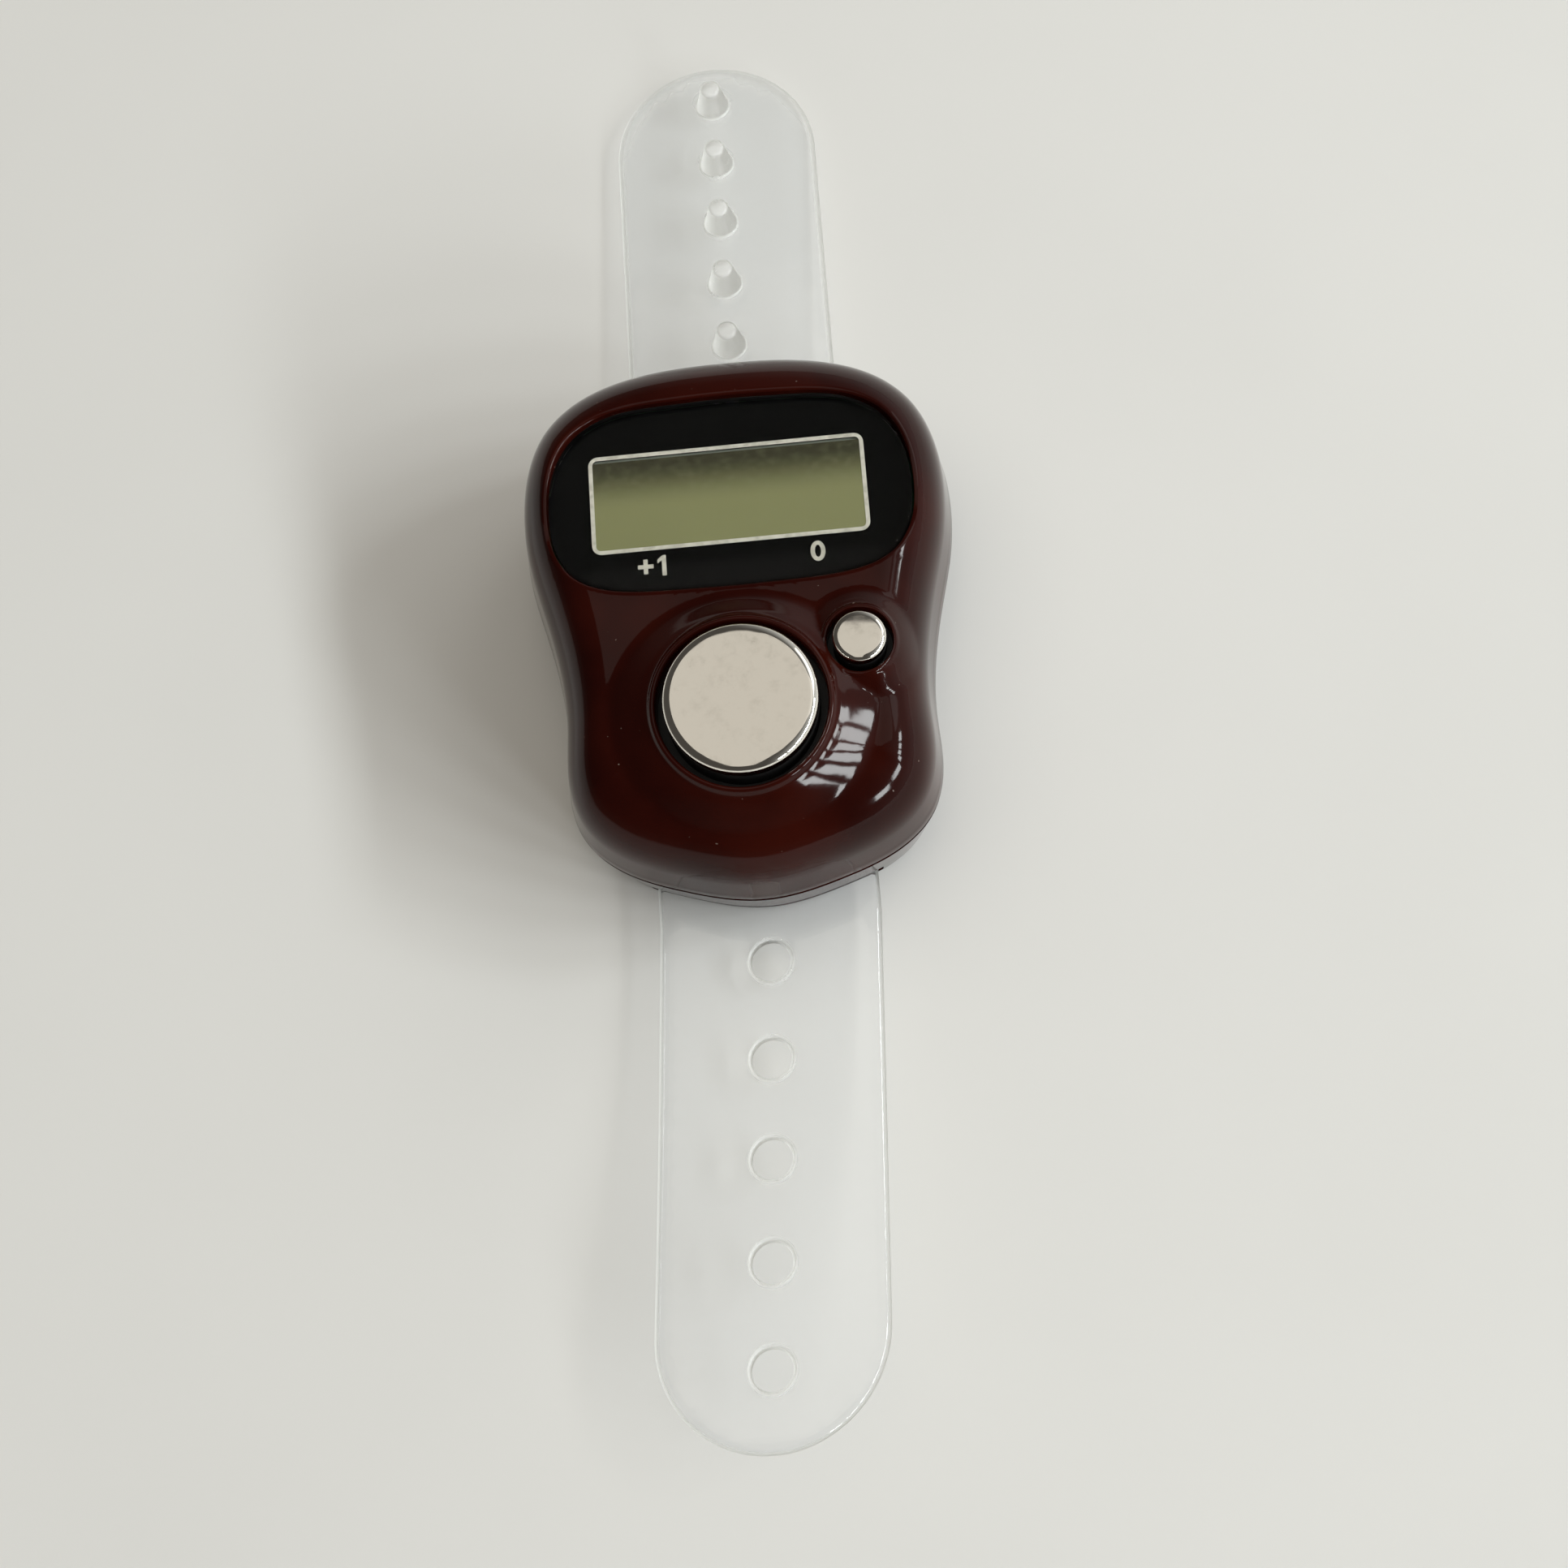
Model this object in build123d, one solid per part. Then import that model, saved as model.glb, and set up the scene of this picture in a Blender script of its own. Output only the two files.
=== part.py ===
"""Finger tally counter: two-part casing, window, display, board, cell, two press buttons and a peg strap.

Millimetres, +Z up from the table that the rear feet stand on, +Y towards the display end.
Heights are measured from the table. The finished part is moved along Y so that its box is centred.
"""
import math
import os
from dataclasses import dataclass

from build123d import *

# Casing
CASE_W = 27.0
CASE_L = 34.5
SEAM_Z = 6.0
FACE_Z = 13.4
WALL = 1.2
FACE_WALL = 1.4
FRONT_DRAFT_DEG = 5.0
REAR_DRAFT_DEG = 8.0
FACE_EDGE_R = 2.4
REAR_EDGE_R = 0.6
CASE_OUTLINE_SHARES = [
    (0, 1), (0.40, 0.962), (0.70, 0.872), (0.895, 0.745), (0.984, 0.60), (0.998, 0.42), (0.967, 0.225),
    (0.903, 0.012), (0.845, -0.197), (0.824, -0.394), (0.826, -0.568), (0.785, -0.735), (0.652, -0.858),
    (0.36, -0.957), (0, -1),
]

# Rear shell: finger saddle, feet and the tongue inside the front shell
SADDLE_RISE = 3.0
REAR_WALL = 1.2
FOOT_L = 4.2
STRAP_BAR_T = 0.85
TONGUE_H = 1.0
TONGUE_T = 0.8
TONGUE_CLEAR = 0.2

# Window plate and its printed film
LENS_W = 21.8
LENS_H = 12.2
LENS_T = 0.8
LENS_RECESS = 0.3
LENS_GAP = 0.12
MASK_T = 0.1
BEZEL_T = 1.2
BEZEL_MARGIN = 0.6
VIEW_W = 15.9
VIEW_H = 5.6
VIEW_CORNER_R = 0.4
WINDOW_Y_SHARE = 0.365
LENS_OUTLINE_SHARES = [
    (0, 1), (0.34, 0.985), (0.642, 0.921), (0.853, 0.705), (0.972, 0.328), (1, -0.1), (0.959, -0.525),
    (0.826, -0.828), (0.606, -0.96), (0.303, -0.992), (0, -1),
]

# Display
LCD_W = 17.2
LCD_H = 7.8
LCD_GLASS_T = 0.7
LCD_TERMINAL_H = 1.6
POLARISER_T = 0.2
POLARISER_MARGIN = 0.25
LCD_GAP = 0.05
LCD_SIDE_GAP = 0.15
ZEBRA_W = 1.2
ZEBRA_END_GAP = 0.6
FOAM_W = 1.8

# Board and what is on it
BOARD_T = 0.8
BOARD_DEPTH = 4.2
BOARD_CLEAR = 0.4
PAD_T = 0.05
PAD_MARGIN = 0.2
PAD_SLIT = 0.3
BLOB_R = 2.8
BLOB_H = 1.1
RESISTOR_L = 1.6
RESISTOR_W = 0.8
RESISTOR_H = 0.45
CAPACITOR_L = 2.0
CAPACITOR_W = 1.25
CAPACITOR_H = 0.8
BLOB_PLACE_SHARES = (0, -0.56)
RESISTOR_PLACE_SHARES = (-0.40, -0.42)
CAPACITOR_PLACE_SHARES = (0.38, -0.70)

# Count button
COUNT_Y_SHARE = -0.452
COUNT_R = 4.2
COUNT_PROUD = 2.7
COUNT_LIP_H = 1.6
COUNT_LIP_W = 0.75
COUNT_SLOPE_W = 1.6
COUNT_SLOPE_SINK = 0.3
COUNT_ROOF_T = 1.45
COUNT_HOLE_GAP = 0.45
COUNT_FLANGE_W = 0.4
COUNT_FLANGE_T = 0.7
COUNT_STEM_R = 1.9
COUNT_STEM_L = 0.35
COUNT_TRAVEL = 0.8
COUNT_EDGE_R = 0.45
COUNT_CAP_WALL = 1.0
COUNT_DOME_BASE_R = 4.4
COUNT_PILL_R = 1.4

# Reset button, set off from the count button at a bearing
RESET_BEARING_DEG = 25.9
RESET_RIB = 0.48
RESET_R = 1.48
RESET_PROUD = 1.6
RESET_LIP_H = 0.9
RESET_LIP_W = 0.5
RESET_SLOPE_W = 1.1
RESET_SLOPE_SINK = 0.9
RESET_ROOF_T = 1.2
RESET_HOLE_GAP = 0.27
RESET_FLANGE_W = 0.2
RESET_FLANGE_T = 0.5
RESET_STEM_R = 0.6
RESET_STEM_L = 0.3
RESET_TRAVEL = 0.6
RESET_EDGE_R = 0.35
RESET_CAP_WALL = 0.45
RESET_DOME_BASE_R = 2.3
RESET_PILL_R = 0.8

# What both buttons share
FLANGE_GAP = 0.1
GUIDE_CLEAR = 0.15
GUIDE_WALL = 0.8
GUIDE_DEPTH = 0.8
DOME_CLEAR = 0.05
DOME_FOOT_T = 0.5
DOME_FOOT_W = 0.5
DOME_SKIN = 0.55
DOME_CROWN_W = 0.3
PILL_T = 0.5
PILL_GAP = 0.3
PRESS_CLEAR = 0.1
SLOPE_MID_SHARES = (0.36, 0.40)

# Button cell and its two contacts
CELL_D = 11.6
CELL_H = 3.05
CELL_STEEL_T = 0.25
CELL_GASKET_T = 0.4
CELL_CAP_PROUD = 0.3
CELL_CLEAR = 0.05
CELL_Y_SHARE = 0.174
FENCE_GAP = 0.35
FENCE_T = 0.8
FENCE_H = 1.6
CONTACT_T = 0.2
CONTACT_W = 3.0
CONTACT_SIDE_GAP = 0.4
CONTACT_FOOT = 2.0
CONTACT_SLOPE = 3.0
CONTACT_PAD = 1.4
CONTACT_TOUCH = 0.03
CONTACT_LIFT = 0.6

# Screws
SCREW_R = 0.7
SCREW_HEAD_R = 1.2
SCREW_HEAD_H = 0.9
SCREW_CROSS_W = 0.28
SCREW_CROSS_L = 1.5
SCREW_CROSS_DEPTH = 0.4
CASE_SCREW_L = 6.0
BOARD_SCREW_L = 2.4
SCREW_FIT = 0.03
SCREW_HOLE_GAP = 0.15
HEAD_GAP = 0.1
HEAD_SEAT_T = 1.0
CASE_BOSS_R = 1.4
BOARD_BOSS_R = 1.3
BOSS_SEAT_GAP = 0.1
BOSS_NOTCH_GAP = 0.3
CASE_SCREW_PLACE_SHARES = [(0.755, 0.672), (-0.755, 0.672), (0.675, -0.533), (-0.675, -0.533)]
BOARD_SCREW_PLACE_SHARES = [(0, 0.812), (0.64, -0.052), (-0.64, -0.052)]

# Strap
STRAP_W = 13.7
STRAP_T = 0.95
SLOT_SIDE_CLEAR = 0.35
SLOT_CLEAR = 0.15
BEND_OUT = 0.25
BEND_GAP = 0.3
PEG_TAIL_L = 26.8
PEG_TAIL_RISE = -0.95
PEG_TAIL_MID_SHARE = 0.62
PEG_COUNT = 5
PEG_PITCH = 4.77
PEG_END_GAP = 3.2
PEG_BASE_R = 1.05
PEG_TIP_R = 0.7
PEG_H = 2.05
PEG_ROUND = 0.25
HOLE_TAIL_L = 31.4
HOLE_TAIL_RISE = 3.3
HOLE_TAIL_MID_SHARE = 0.25
HOLE_TAIL_LEAN_DEG = 3.4
HOLE_COUNT = 5
HOLE_PITCH = 6.03
HOLE_END_GAP = 4.6
HOLE_R = 1.22

# One overrun serves every cut, and one count of steps every half outline
OVERRUN = 0.5
OUTLINE_STEPS = 24

# Heights and reaches worked out from the sizes above
half_w = CASE_W / 2
half_l = CASE_L / 2
ceiling_z = FACE_Z - FACE_WALL
lens_top_z = FACE_Z - LENS_RECESS
lens_bottom_z = lens_top_z - LENS_T
mask_bottom_z = lens_bottom_z - MASK_T
bezel_bottom_z = mask_bottom_z - BEZEL_T
lcd_top_z = mask_bottom_z - LCD_GAP
front_glass_top_z = lcd_top_z - POLARISER_T
rear_glass_top_z = front_glass_top_z - LCD_GLASS_T
rear_glass_bottom_z = rear_glass_top_z - LCD_GLASS_T
lcd_bottom_z = rear_glass_bottom_z - POLARISER_T
board_top_z = FACE_Z - BOARD_DEPTH
board_bottom_z = board_top_z - BOARD_T
pad_top_z = board_top_z + PAD_T
guide_bottom_z = ceiling_z - GUIDE_DEPTH
rear_floor_z = SADDLE_RISE + REAR_WALL
case_head_z = rear_floor_z - HEAD_SEAT_T
tongue_top_z = SEAM_Z + TONGUE_H
cell_bottom_z = rear_floor_z + CELL_CLEAR
cell_top_z = cell_bottom_z + CELL_H
cell_r = CELL_D / 2
slot_bottom_z = STRAP_BAR_T
slot_top_z = slot_bottom_z + STRAP_T + 2 * SLOT_CLEAR
strap_z = slot_bottom_z + SLOT_CLEAR + STRAP_T / 2
slot_w = STRAP_W + 2 * SLOT_SIDE_CLEAR
saddle_half = half_l - FOOT_L
bend_y = half_l + BEND_OUT
window_place = (0, WINDOW_Y_SHARE * half_l)
lcd_place = (0, window_place[1] - LCD_TERMINAL_H / 2)
cell_place = (0, CELL_Y_SHARE * half_l)


def shared_places(shares):
    """Plan places from shares of the casing's half width and half length."""
    return [(x * half_w, y * half_l) for x, y in shares]


case_screw_places = shared_places(CASE_SCREW_PLACE_SHARES)
board_screw_places = shared_places(BOARD_SCREW_PLACE_SHARES)


def at(place, z=0.0):
    """Location of a plan place at a height."""
    return Pos(place[0], place[1], z)


def round_bar(place, radius, bottom_z, top_z):
    """Upright cylinder between two heights."""
    return at(place, (bottom_z + top_z) / 2) * Cylinder(radius, top_z - bottom_z)


def slab(width, depth, bottom_z, top_z, place=(0, 0)):
    """Upright box between two heights."""
    return at(place, (bottom_z + top_z) / 2) * Box(width, depth, top_z - bottom_z)


def turned(place, points):
    """Solid of revolution about an upright axis, from radius and height points."""
    section = make_face(Polyline(*points, close=True))
    return at(place) * revolve(Plane.XZ * section, Axis.Z)


def symmetric_outline(shares, half_x, half_y, inset):
    """Smooth closed outline, from shares of its right half, moved inwards along its normals."""
    points = [(x * half_x, y * half_y) for x, y in shares]
    moved = []
    for index, (x, y) in enumerate(points):
        before = points[index - 1] if index else (-points[1][0], points[1][1])
        after = points[index + 1] if index + 1 < len(points) else (-points[-2][0], points[-2][1])
        run_x = after[0] - before[0]
        run_y = after[1] - before[1]
        run = math.hypot(run_x, run_y)
        moved.append((x + inset * run_y / run, y - inset * run_x / run))
    right = Spline(*moved, tangents=((1, 0), (-1, 0)), tangent_scalars=(1, 1))
    steps = [step / OUTLINE_STEPS for step in range(OUTLINE_STEPS + 1)]
    places = [right.position_at(step) for step in steps]
    slopes = [right.tangent_at(step) for step in steps]
    loop = places + [Vector(-place.X, place.Y) for place in places[-2:0:-1]]
    turns = slopes + [Vector(slope.X, -slope.Y) for slope in slopes[-2:0:-1]]
    return make_face([Spline(*loop, tangents=turns, tangent_scalars=[1] * len(loop), periodic=True)])


def case_face(inset, z):
    """Plan face of the casing at a height."""
    return Pos(0, 0, z) * symmetric_outline(CASE_OUTLINE_SHARES, half_w, half_l, inset)


def case_solid(bottom_z, bottom_inset, top_z, top_inset):
    """Solid between two casing outlines."""
    return loft([case_face(bottom_inset, bottom_z), case_face(top_inset, top_z)], ruled=True)


def lens_plate(grow, bottom_z, top_z):
    """Plate of the window's outline between two heights, grown by a margin."""
    face = symmetric_outline(LENS_OUTLINE_SHARES, LENS_W / 2, LENS_H / 2, -grow)
    return extrude(at(window_place, bottom_z) * face, amount=top_z - bottom_z)


def front_inset(z):
    """How far the drafted front wall has moved in at a height."""
    return (z - SEAM_Z) * math.tan(math.radians(FRONT_DRAFT_DEG))


def rear_inset(z):
    """How far the drafted rear wall has moved in at a height."""
    return (SEAM_Z - z) * math.tan(math.radians(REAR_DRAFT_DEG))


@dataclass
class Button:
    """One press button with its mound, guide, dome and pill."""

    place: tuple
    cap_r: float
    proud: float
    lip_h: float
    lip_w: float
    slope_w: float
    slope_sink: float
    roof_t: float
    hole_gap: float
    flange_w: float
    flange_t: float
    stem_r: float
    stem_l: float
    travel: float
    edge_r: float
    cap_wall: float
    dome_base_r: float
    pill_r: float

    def __post_init__(self):
        self.hole_r = self.cap_r + self.hole_gap
        self.flange_r = self.hole_r + self.flange_w
        self.guide_r = self.flange_r + GUIDE_CLEAR
        self.lip_z = FACE_Z + self.lip_h
        self.top_z = FACE_Z + self.proud
        self.guide_top_z = self.lip_z - self.roof_t
        self.flange_top_z = self.guide_top_z - FLANGE_GAP
        self.flange_bottom_z = self.flange_top_z - self.flange_t
        self.stem_bottom_z = self.flange_bottom_z - self.stem_l
        self.dome_top_z = self.stem_bottom_z - DOME_CLEAR
        self.pill_bottom_z = pad_top_z + self.travel + PRESS_CLEAR
        self.pill_top_z = self.pill_bottom_z + PILL_T

    def mound(self):
        """Raised collar with a rounded lip and a hollow slope outside it."""
        lip_out = self.hole_r + self.lip_w
        round_r = self.lip_w / 2
        base_r = lip_out + self.slope_w
        foot_z = FACE_Z - self.slope_sink
        lip_edge_z = self.lip_z - round_r
        mid_r = lip_out + self.slope_w * SLOPE_MID_SHARES[0]
        mid_z = foot_z + (lip_edge_z - foot_z) * SLOPE_MID_SHARES[1]
        section = make_face([
            Line((0, ceiling_z), (0, lip_edge_z)),
            Line((0, lip_edge_z), (self.hole_r, lip_edge_z)),
            ThreePointArc((self.hole_r, lip_edge_z), (self.hole_r + round_r, self.lip_z), (lip_out, lip_edge_z)),
            ThreePointArc((lip_out, lip_edge_z), (mid_r, mid_z), (base_r, foot_z)),
            Line((base_r, foot_z), (base_r, ceiling_z)),
            Line((base_r, ceiling_z), (0, ceiling_z)),
        ])
        return at(self.place) * revolve(Plane.XZ * section, Axis.Z)

    def guide_skirt(self):
        """Ring under the face that the flange slides in, before it is bored."""
        return round_bar(self.place, self.guide_r + GUIDE_WALL, guide_bottom_z, ceiling_z + FACE_WALL / 2)

    def bores(self):
        """Guide bore below the roof and the hole through it."""
        guide = round_bar(self.place, self.guide_r, guide_bottom_z - OVERRUN, self.guide_top_z)
        return guide + round_bar(self.place, self.hole_r, guide_bottom_z, self.lip_z + OVERRUN)

    def cap(self):
        """Hollow plated cap with a flange, a centre stem and a rounded top edge."""
        inner_r = self.cap_r - self.cap_wall
        inner_top_z = self.top_z - self.cap_wall
        solid = turned(self.place, [
            (0, self.stem_bottom_z), (self.stem_r, self.stem_bottom_z), (self.stem_r, inner_top_z),
            (inner_r, inner_top_z), (inner_r, self.flange_bottom_z), (self.flange_r, self.flange_bottom_z),
            (self.flange_r, self.flange_top_z), (self.cap_r, self.flange_top_z), (self.cap_r, self.top_z),
            (0, self.top_z),
        ])
        return fillet(solid.edges().group_by(Axis.Z)[-1], self.edge_r)

    def dome(self):
        """Hollow silicone dome between the board and the stem."""
        foot_top_z = board_top_z + DOME_FOOT_T
        cone_r = self.dome_base_r - DOME_FOOT_W
        hollow_top_z = self.pill_top_z + DOME_CLEAR
        return turned(self.place, [
            (cone_r - DOME_SKIN, board_top_z), (self.dome_base_r, board_top_z), (self.dome_base_r, foot_top_z),
            (cone_r, foot_top_z), (self.stem_r + DOME_CROWN_W, self.dome_top_z), (0, self.dome_top_z),
            (0, hollow_top_z), (self.pill_r + PILL_GAP, hollow_top_z),
        ])

    def pill(self):
        """Carbon disc that closes the comb when the button is down."""
        return round_bar(self.place, self.pill_r, self.pill_bottom_z, self.pill_top_z)

    def pads(self):
        """Two gold half discs on the board under the pill."""
        disc_r = self.pill_r + PAD_MARGIN
        disc = round_bar(self.place, disc_r, board_top_z, pad_top_z)
        slit = slab(PAD_SLIT, 2 * disc_r + OVERRUN, board_top_z - OVERRUN, pad_top_z + OVERRUN, self.place)
        return (disc - slit).solids()


count = Button(
    place=(0, COUNT_Y_SHARE * half_l), cap_r=COUNT_R, proud=COUNT_PROUD, lip_h=COUNT_LIP_H, lip_w=COUNT_LIP_W,
    slope_w=COUNT_SLOPE_W, slope_sink=COUNT_SLOPE_SINK, roof_t=COUNT_ROOF_T, hole_gap=COUNT_HOLE_GAP,
    flange_w=COUNT_FLANGE_W, flange_t=COUNT_FLANGE_T, stem_r=COUNT_STEM_R, stem_l=COUNT_STEM_L,
    travel=COUNT_TRAVEL, edge_r=COUNT_EDGE_R, cap_wall=COUNT_CAP_WALL, dome_base_r=COUNT_DOME_BASE_R,
    pill_r=COUNT_PILL_R,
)
reset = Button(
    place=(0, 0), cap_r=RESET_R, proud=RESET_PROUD, lip_h=RESET_LIP_H, lip_w=RESET_LIP_W,
    slope_w=RESET_SLOPE_W, slope_sink=RESET_SLOPE_SINK, roof_t=RESET_ROOF_T, hole_gap=RESET_HOLE_GAP,
    flange_w=RESET_FLANGE_W, flange_t=RESET_FLANGE_T, stem_r=RESET_STEM_R, stem_l=RESET_STEM_L,
    travel=RESET_TRAVEL, edge_r=RESET_EDGE_R, cap_wall=RESET_CAP_WALL, dome_base_r=RESET_DOME_BASE_R,
    pill_r=RESET_PILL_R,
)
reset_reach = count.guide_r + RESET_RIB + reset.guide_r
reset.place = (
    count.place[0] + reset_reach * math.cos(math.radians(RESET_BEARING_DEG)),
    count.place[1] + reset_reach * math.sin(math.radians(RESET_BEARING_DEG)),
)
buttons = (count, reset)


def front_shell():
    """Front moulding with its window bezel, button mounds, guides and screw bosses."""
    outer = case_solid(SEAM_Z, 0, FACE_Z, front_inset(FACE_Z))
    outer = fillet(outer.edges().group_by(Axis.Z)[-1], FACE_EDGE_R)
    mouth_z = SEAM_Z - OVERRUN
    hollow = case_solid(mouth_z, WALL + front_inset(mouth_z), ceiling_z, WALL + front_inset(ceiling_z))
    hollow = fillet(hollow.edges().group_by(Axis.Z)[-1], FACE_EDGE_R - WALL)
    shell = outer - hollow
    shell += lens_plate(BEZEL_MARGIN, bezel_bottom_z, lens_bottom_z)
    boss_top_z = ceiling_z + FACE_WALL / 2
    for button in buttons:
        shell += button.mound()
        shell += button.guide_skirt()
    for place in case_screw_places:
        shell += round_bar(place, CASE_BOSS_R, SEAM_Z + BOSS_SEAT_GAP, boss_top_z)
    for place in board_screw_places:
        shell += round_bar(place, BOARD_BOSS_R, board_top_z, boss_top_z)
    shell -= lens_plate(LENS_GAP, mask_bottom_z, FACE_Z + OVERRUN)
    well_w = LCD_W + 2 * LCD_SIDE_GAP
    well_h = LCD_H + 2 * LCD_SIDE_GAP
    shell -= slab(well_w, well_h, bezel_bottom_z - OVERRUN, mask_bottom_z + OVERRUN, lcd_place)
    for button in buttons:
        shell -= button.bores()
    bore_r = SCREW_R + SCREW_FIT
    for place in case_screw_places:
        shell -= round_bar(place, bore_r, SEAM_Z, case_head_z + CASE_SCREW_L + OVERRUN)
    for place in board_screw_places:
        shell -= round_bar(place, bore_r, board_bottom_z, board_bottom_z + BOARD_SCREW_L + OVERRUN)
    return shell


def cell_fence():
    """Round fence that holds the cell, open where the side contact comes down."""
    inner_r = cell_r + FENCE_GAP
    outer_r = inner_r + FENCE_T
    top_z = rear_floor_z + FENCE_H
    fence = round_bar(cell_place, outer_r, rear_floor_z - REAR_WALL / 2, top_z)
    fence -= round_bar(cell_place, inner_r, rear_floor_z, top_z + OVERRUN)
    gap_place = (cell_place[0] + outer_r, cell_place[1])
    return fence - slab(outer_r, CONTACT_W + 2 * CONTACT_SIDE_GAP, rear_floor_z, top_z + OVERRUN, gap_place)


def rear_shell():
    """Rear moulding with the finger saddle, the strap slot behind two bars, the tongue and the bosses."""
    shell = case_solid(0, rear_inset(0), SEAM_Z, 0)
    shell = fillet(shell.edges().group_by(Axis.Z)[0], REAR_EDGE_R)
    tongue_out = WALL + front_inset(tongue_top_z) + TONGUE_CLEAR
    tongue_in = tongue_out + TONGUE_T
    tongue = case_solid(SEAM_Z - TONGUE_H, tongue_out, tongue_top_z, tongue_out)
    for place in case_screw_places:
        tongue -= round_bar(place, CASE_BOSS_R + BOSS_NOTCH_GAP, SEAM_Z, tongue_top_z + OVERRUN)
    shell += tongue
    shell -= case_solid(rear_floor_z, tongue_in, tongue_top_z + OVERRUN, tongue_in)
    shell += cell_fence()
    for place in case_screw_places:
        shell += round_bar(place, CASE_BOSS_R, rear_floor_z - REAR_WALL / 2, SEAM_Z)
    saddle_r = (saddle_half**2 + SADDLE_RISE**2) / (2 * SADDLE_RISE)
    shell -= Pos(0, 0, SADDLE_RISE - saddle_r) * Rot(0, 90, 0) * Cylinder(saddle_r, CASE_W + OVERRUN)
    shell -= slab(slot_w, CASE_L + OVERRUN, slot_bottom_z, slot_top_z)
    shell -= slab(slot_w, 2 * saddle_half, -OVERRUN, slot_top_z)
    for place in case_screw_places:
        shell -= round_bar(place, SCREW_HEAD_R + HEAD_GAP, -OVERRUN, case_head_z)
        shell -= round_bar(place, SCREW_R + SCREW_HOLE_GAP, 0, SEAM_Z + OVERRUN)
    return shell


def window_mask():
    """Printed film behind the window plate, with the display opening."""
    film = lens_plate(0, mask_bottom_z, lens_bottom_z)
    opening = RectangleRounded(VIEW_W, VIEW_H, VIEW_CORNER_R)
    cut = extrude(at(window_place, mask_bottom_z - OVERRUN) * opening, amount=MASK_T + 2 * OVERRUN)
    return film - cut


def display():
    """Two glasses and two polarisers, the conductive strip under the terminals and a foam pad."""
    glass_h = LCD_H - LCD_TERMINAL_H
    film_w = LCD_W - 2 * POLARISER_MARGIN
    film_h = LCD_H - 2 * POLARISER_MARGIN
    rear_film_h = glass_h - 2 * POLARISER_MARGIN
    low_y = lcd_place[1] - LCD_H / 2
    high_y = lcd_place[1] + LCD_H / 2
    rear_place = (0, high_y - glass_h / 2)
    zebra_place = (0, low_y + LCD_TERMINAL_H / 2)
    foam_place = (0, high_y - POLARISER_MARGIN - FOAM_W / 2)
    return {
        "lcd_front_polariser": slab(film_w, film_h, front_glass_top_z, lcd_top_z, lcd_place),
        "lcd_front_glass": slab(LCD_W, LCD_H, rear_glass_top_z, front_glass_top_z, lcd_place),
        "lcd_rear_glass": slab(LCD_W, glass_h, rear_glass_bottom_z, rear_glass_top_z, rear_place),
        "lcd_rear_polariser": slab(film_w, rear_film_h, lcd_bottom_z, rear_glass_bottom_z, rear_place),
        "zebra_strip": slab(LCD_W - 2 * ZEBRA_END_GAP, ZEBRA_W, board_top_z, rear_glass_top_z, zebra_place),
        "lcd_foam_pad": slab(film_w, FOAM_W, board_top_z, lcd_bottom_z, foam_place),
    }


def circuit_board():
    """Board cut to the casing, notched round the case bosses and drilled for its screws."""
    inset = WALL + front_inset(board_top_z) + BOARD_CLEAR
    board = case_solid(board_bottom_z, inset, board_top_z, inset)
    for place in case_screw_places:
        board -= round_bar(place, CASE_BOSS_R + BOSS_NOTCH_GAP, board_bottom_z - OVERRUN, board_top_z + OVERRUN)
    for place in board_screw_places:
        board -= round_bar(place, SCREW_R + SCREW_HOLE_GAP, board_bottom_z - OVERRUN, board_top_z + OVERRUN)
    return board


def board_parts():
    """Epoxy drop over the chip and two chip parts, under the board."""
    blob_r = (BLOB_R**2 + BLOB_H**2) / (2 * BLOB_H)
    blob_place, resistor_place, capacitor_place = shared_places(
        [BLOB_PLACE_SHARES, RESISTOR_PLACE_SHARES, CAPACITOR_PLACE_SHARES]
    )
    ball = at(blob_place, board_bottom_z - BLOB_H + blob_r) * Sphere(blob_r)
    drop = ball & round_bar(blob_place, BLOB_R, board_bottom_z - BLOB_H - OVERRUN, board_bottom_z)
    return {
        "chip_blob": drop,
        "chip_resistor": slab(RESISTOR_L, RESISTOR_W, board_bottom_z - RESISTOR_H, board_bottom_z, resistor_place),
        "chip_capacitor": slab(
            CAPACITOR_L, CAPACITOR_W, board_bottom_z - CAPACITOR_H, board_bottom_z, capacitor_place
        ),
    }


def button_cell():
    """Steel can, nylon gasket and the cap that stands proud of it."""
    can_top_z = cell_top_z - CELL_CAP_PROUD
    inside_z = cell_bottom_z + CELL_STEEL_T
    can_in = cell_r - CELL_STEEL_T
    cap_out = can_in - CELL_GASKET_T
    can = round_bar(cell_place, cell_r, cell_bottom_z, can_top_z)
    can -= round_bar(cell_place, can_in, inside_z, can_top_z + OVERRUN)
    gasket = round_bar(cell_place, can_in, inside_z, can_top_z)
    gasket -= round_bar(cell_place, cap_out, inside_z - OVERRUN, can_top_z + OVERRUN)
    return {
        "cell_can": can,
        "cell_gasket": gasket,
        "cell_cap": round_bar(cell_place, cap_out, inside_z, cell_top_z),
    }


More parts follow.
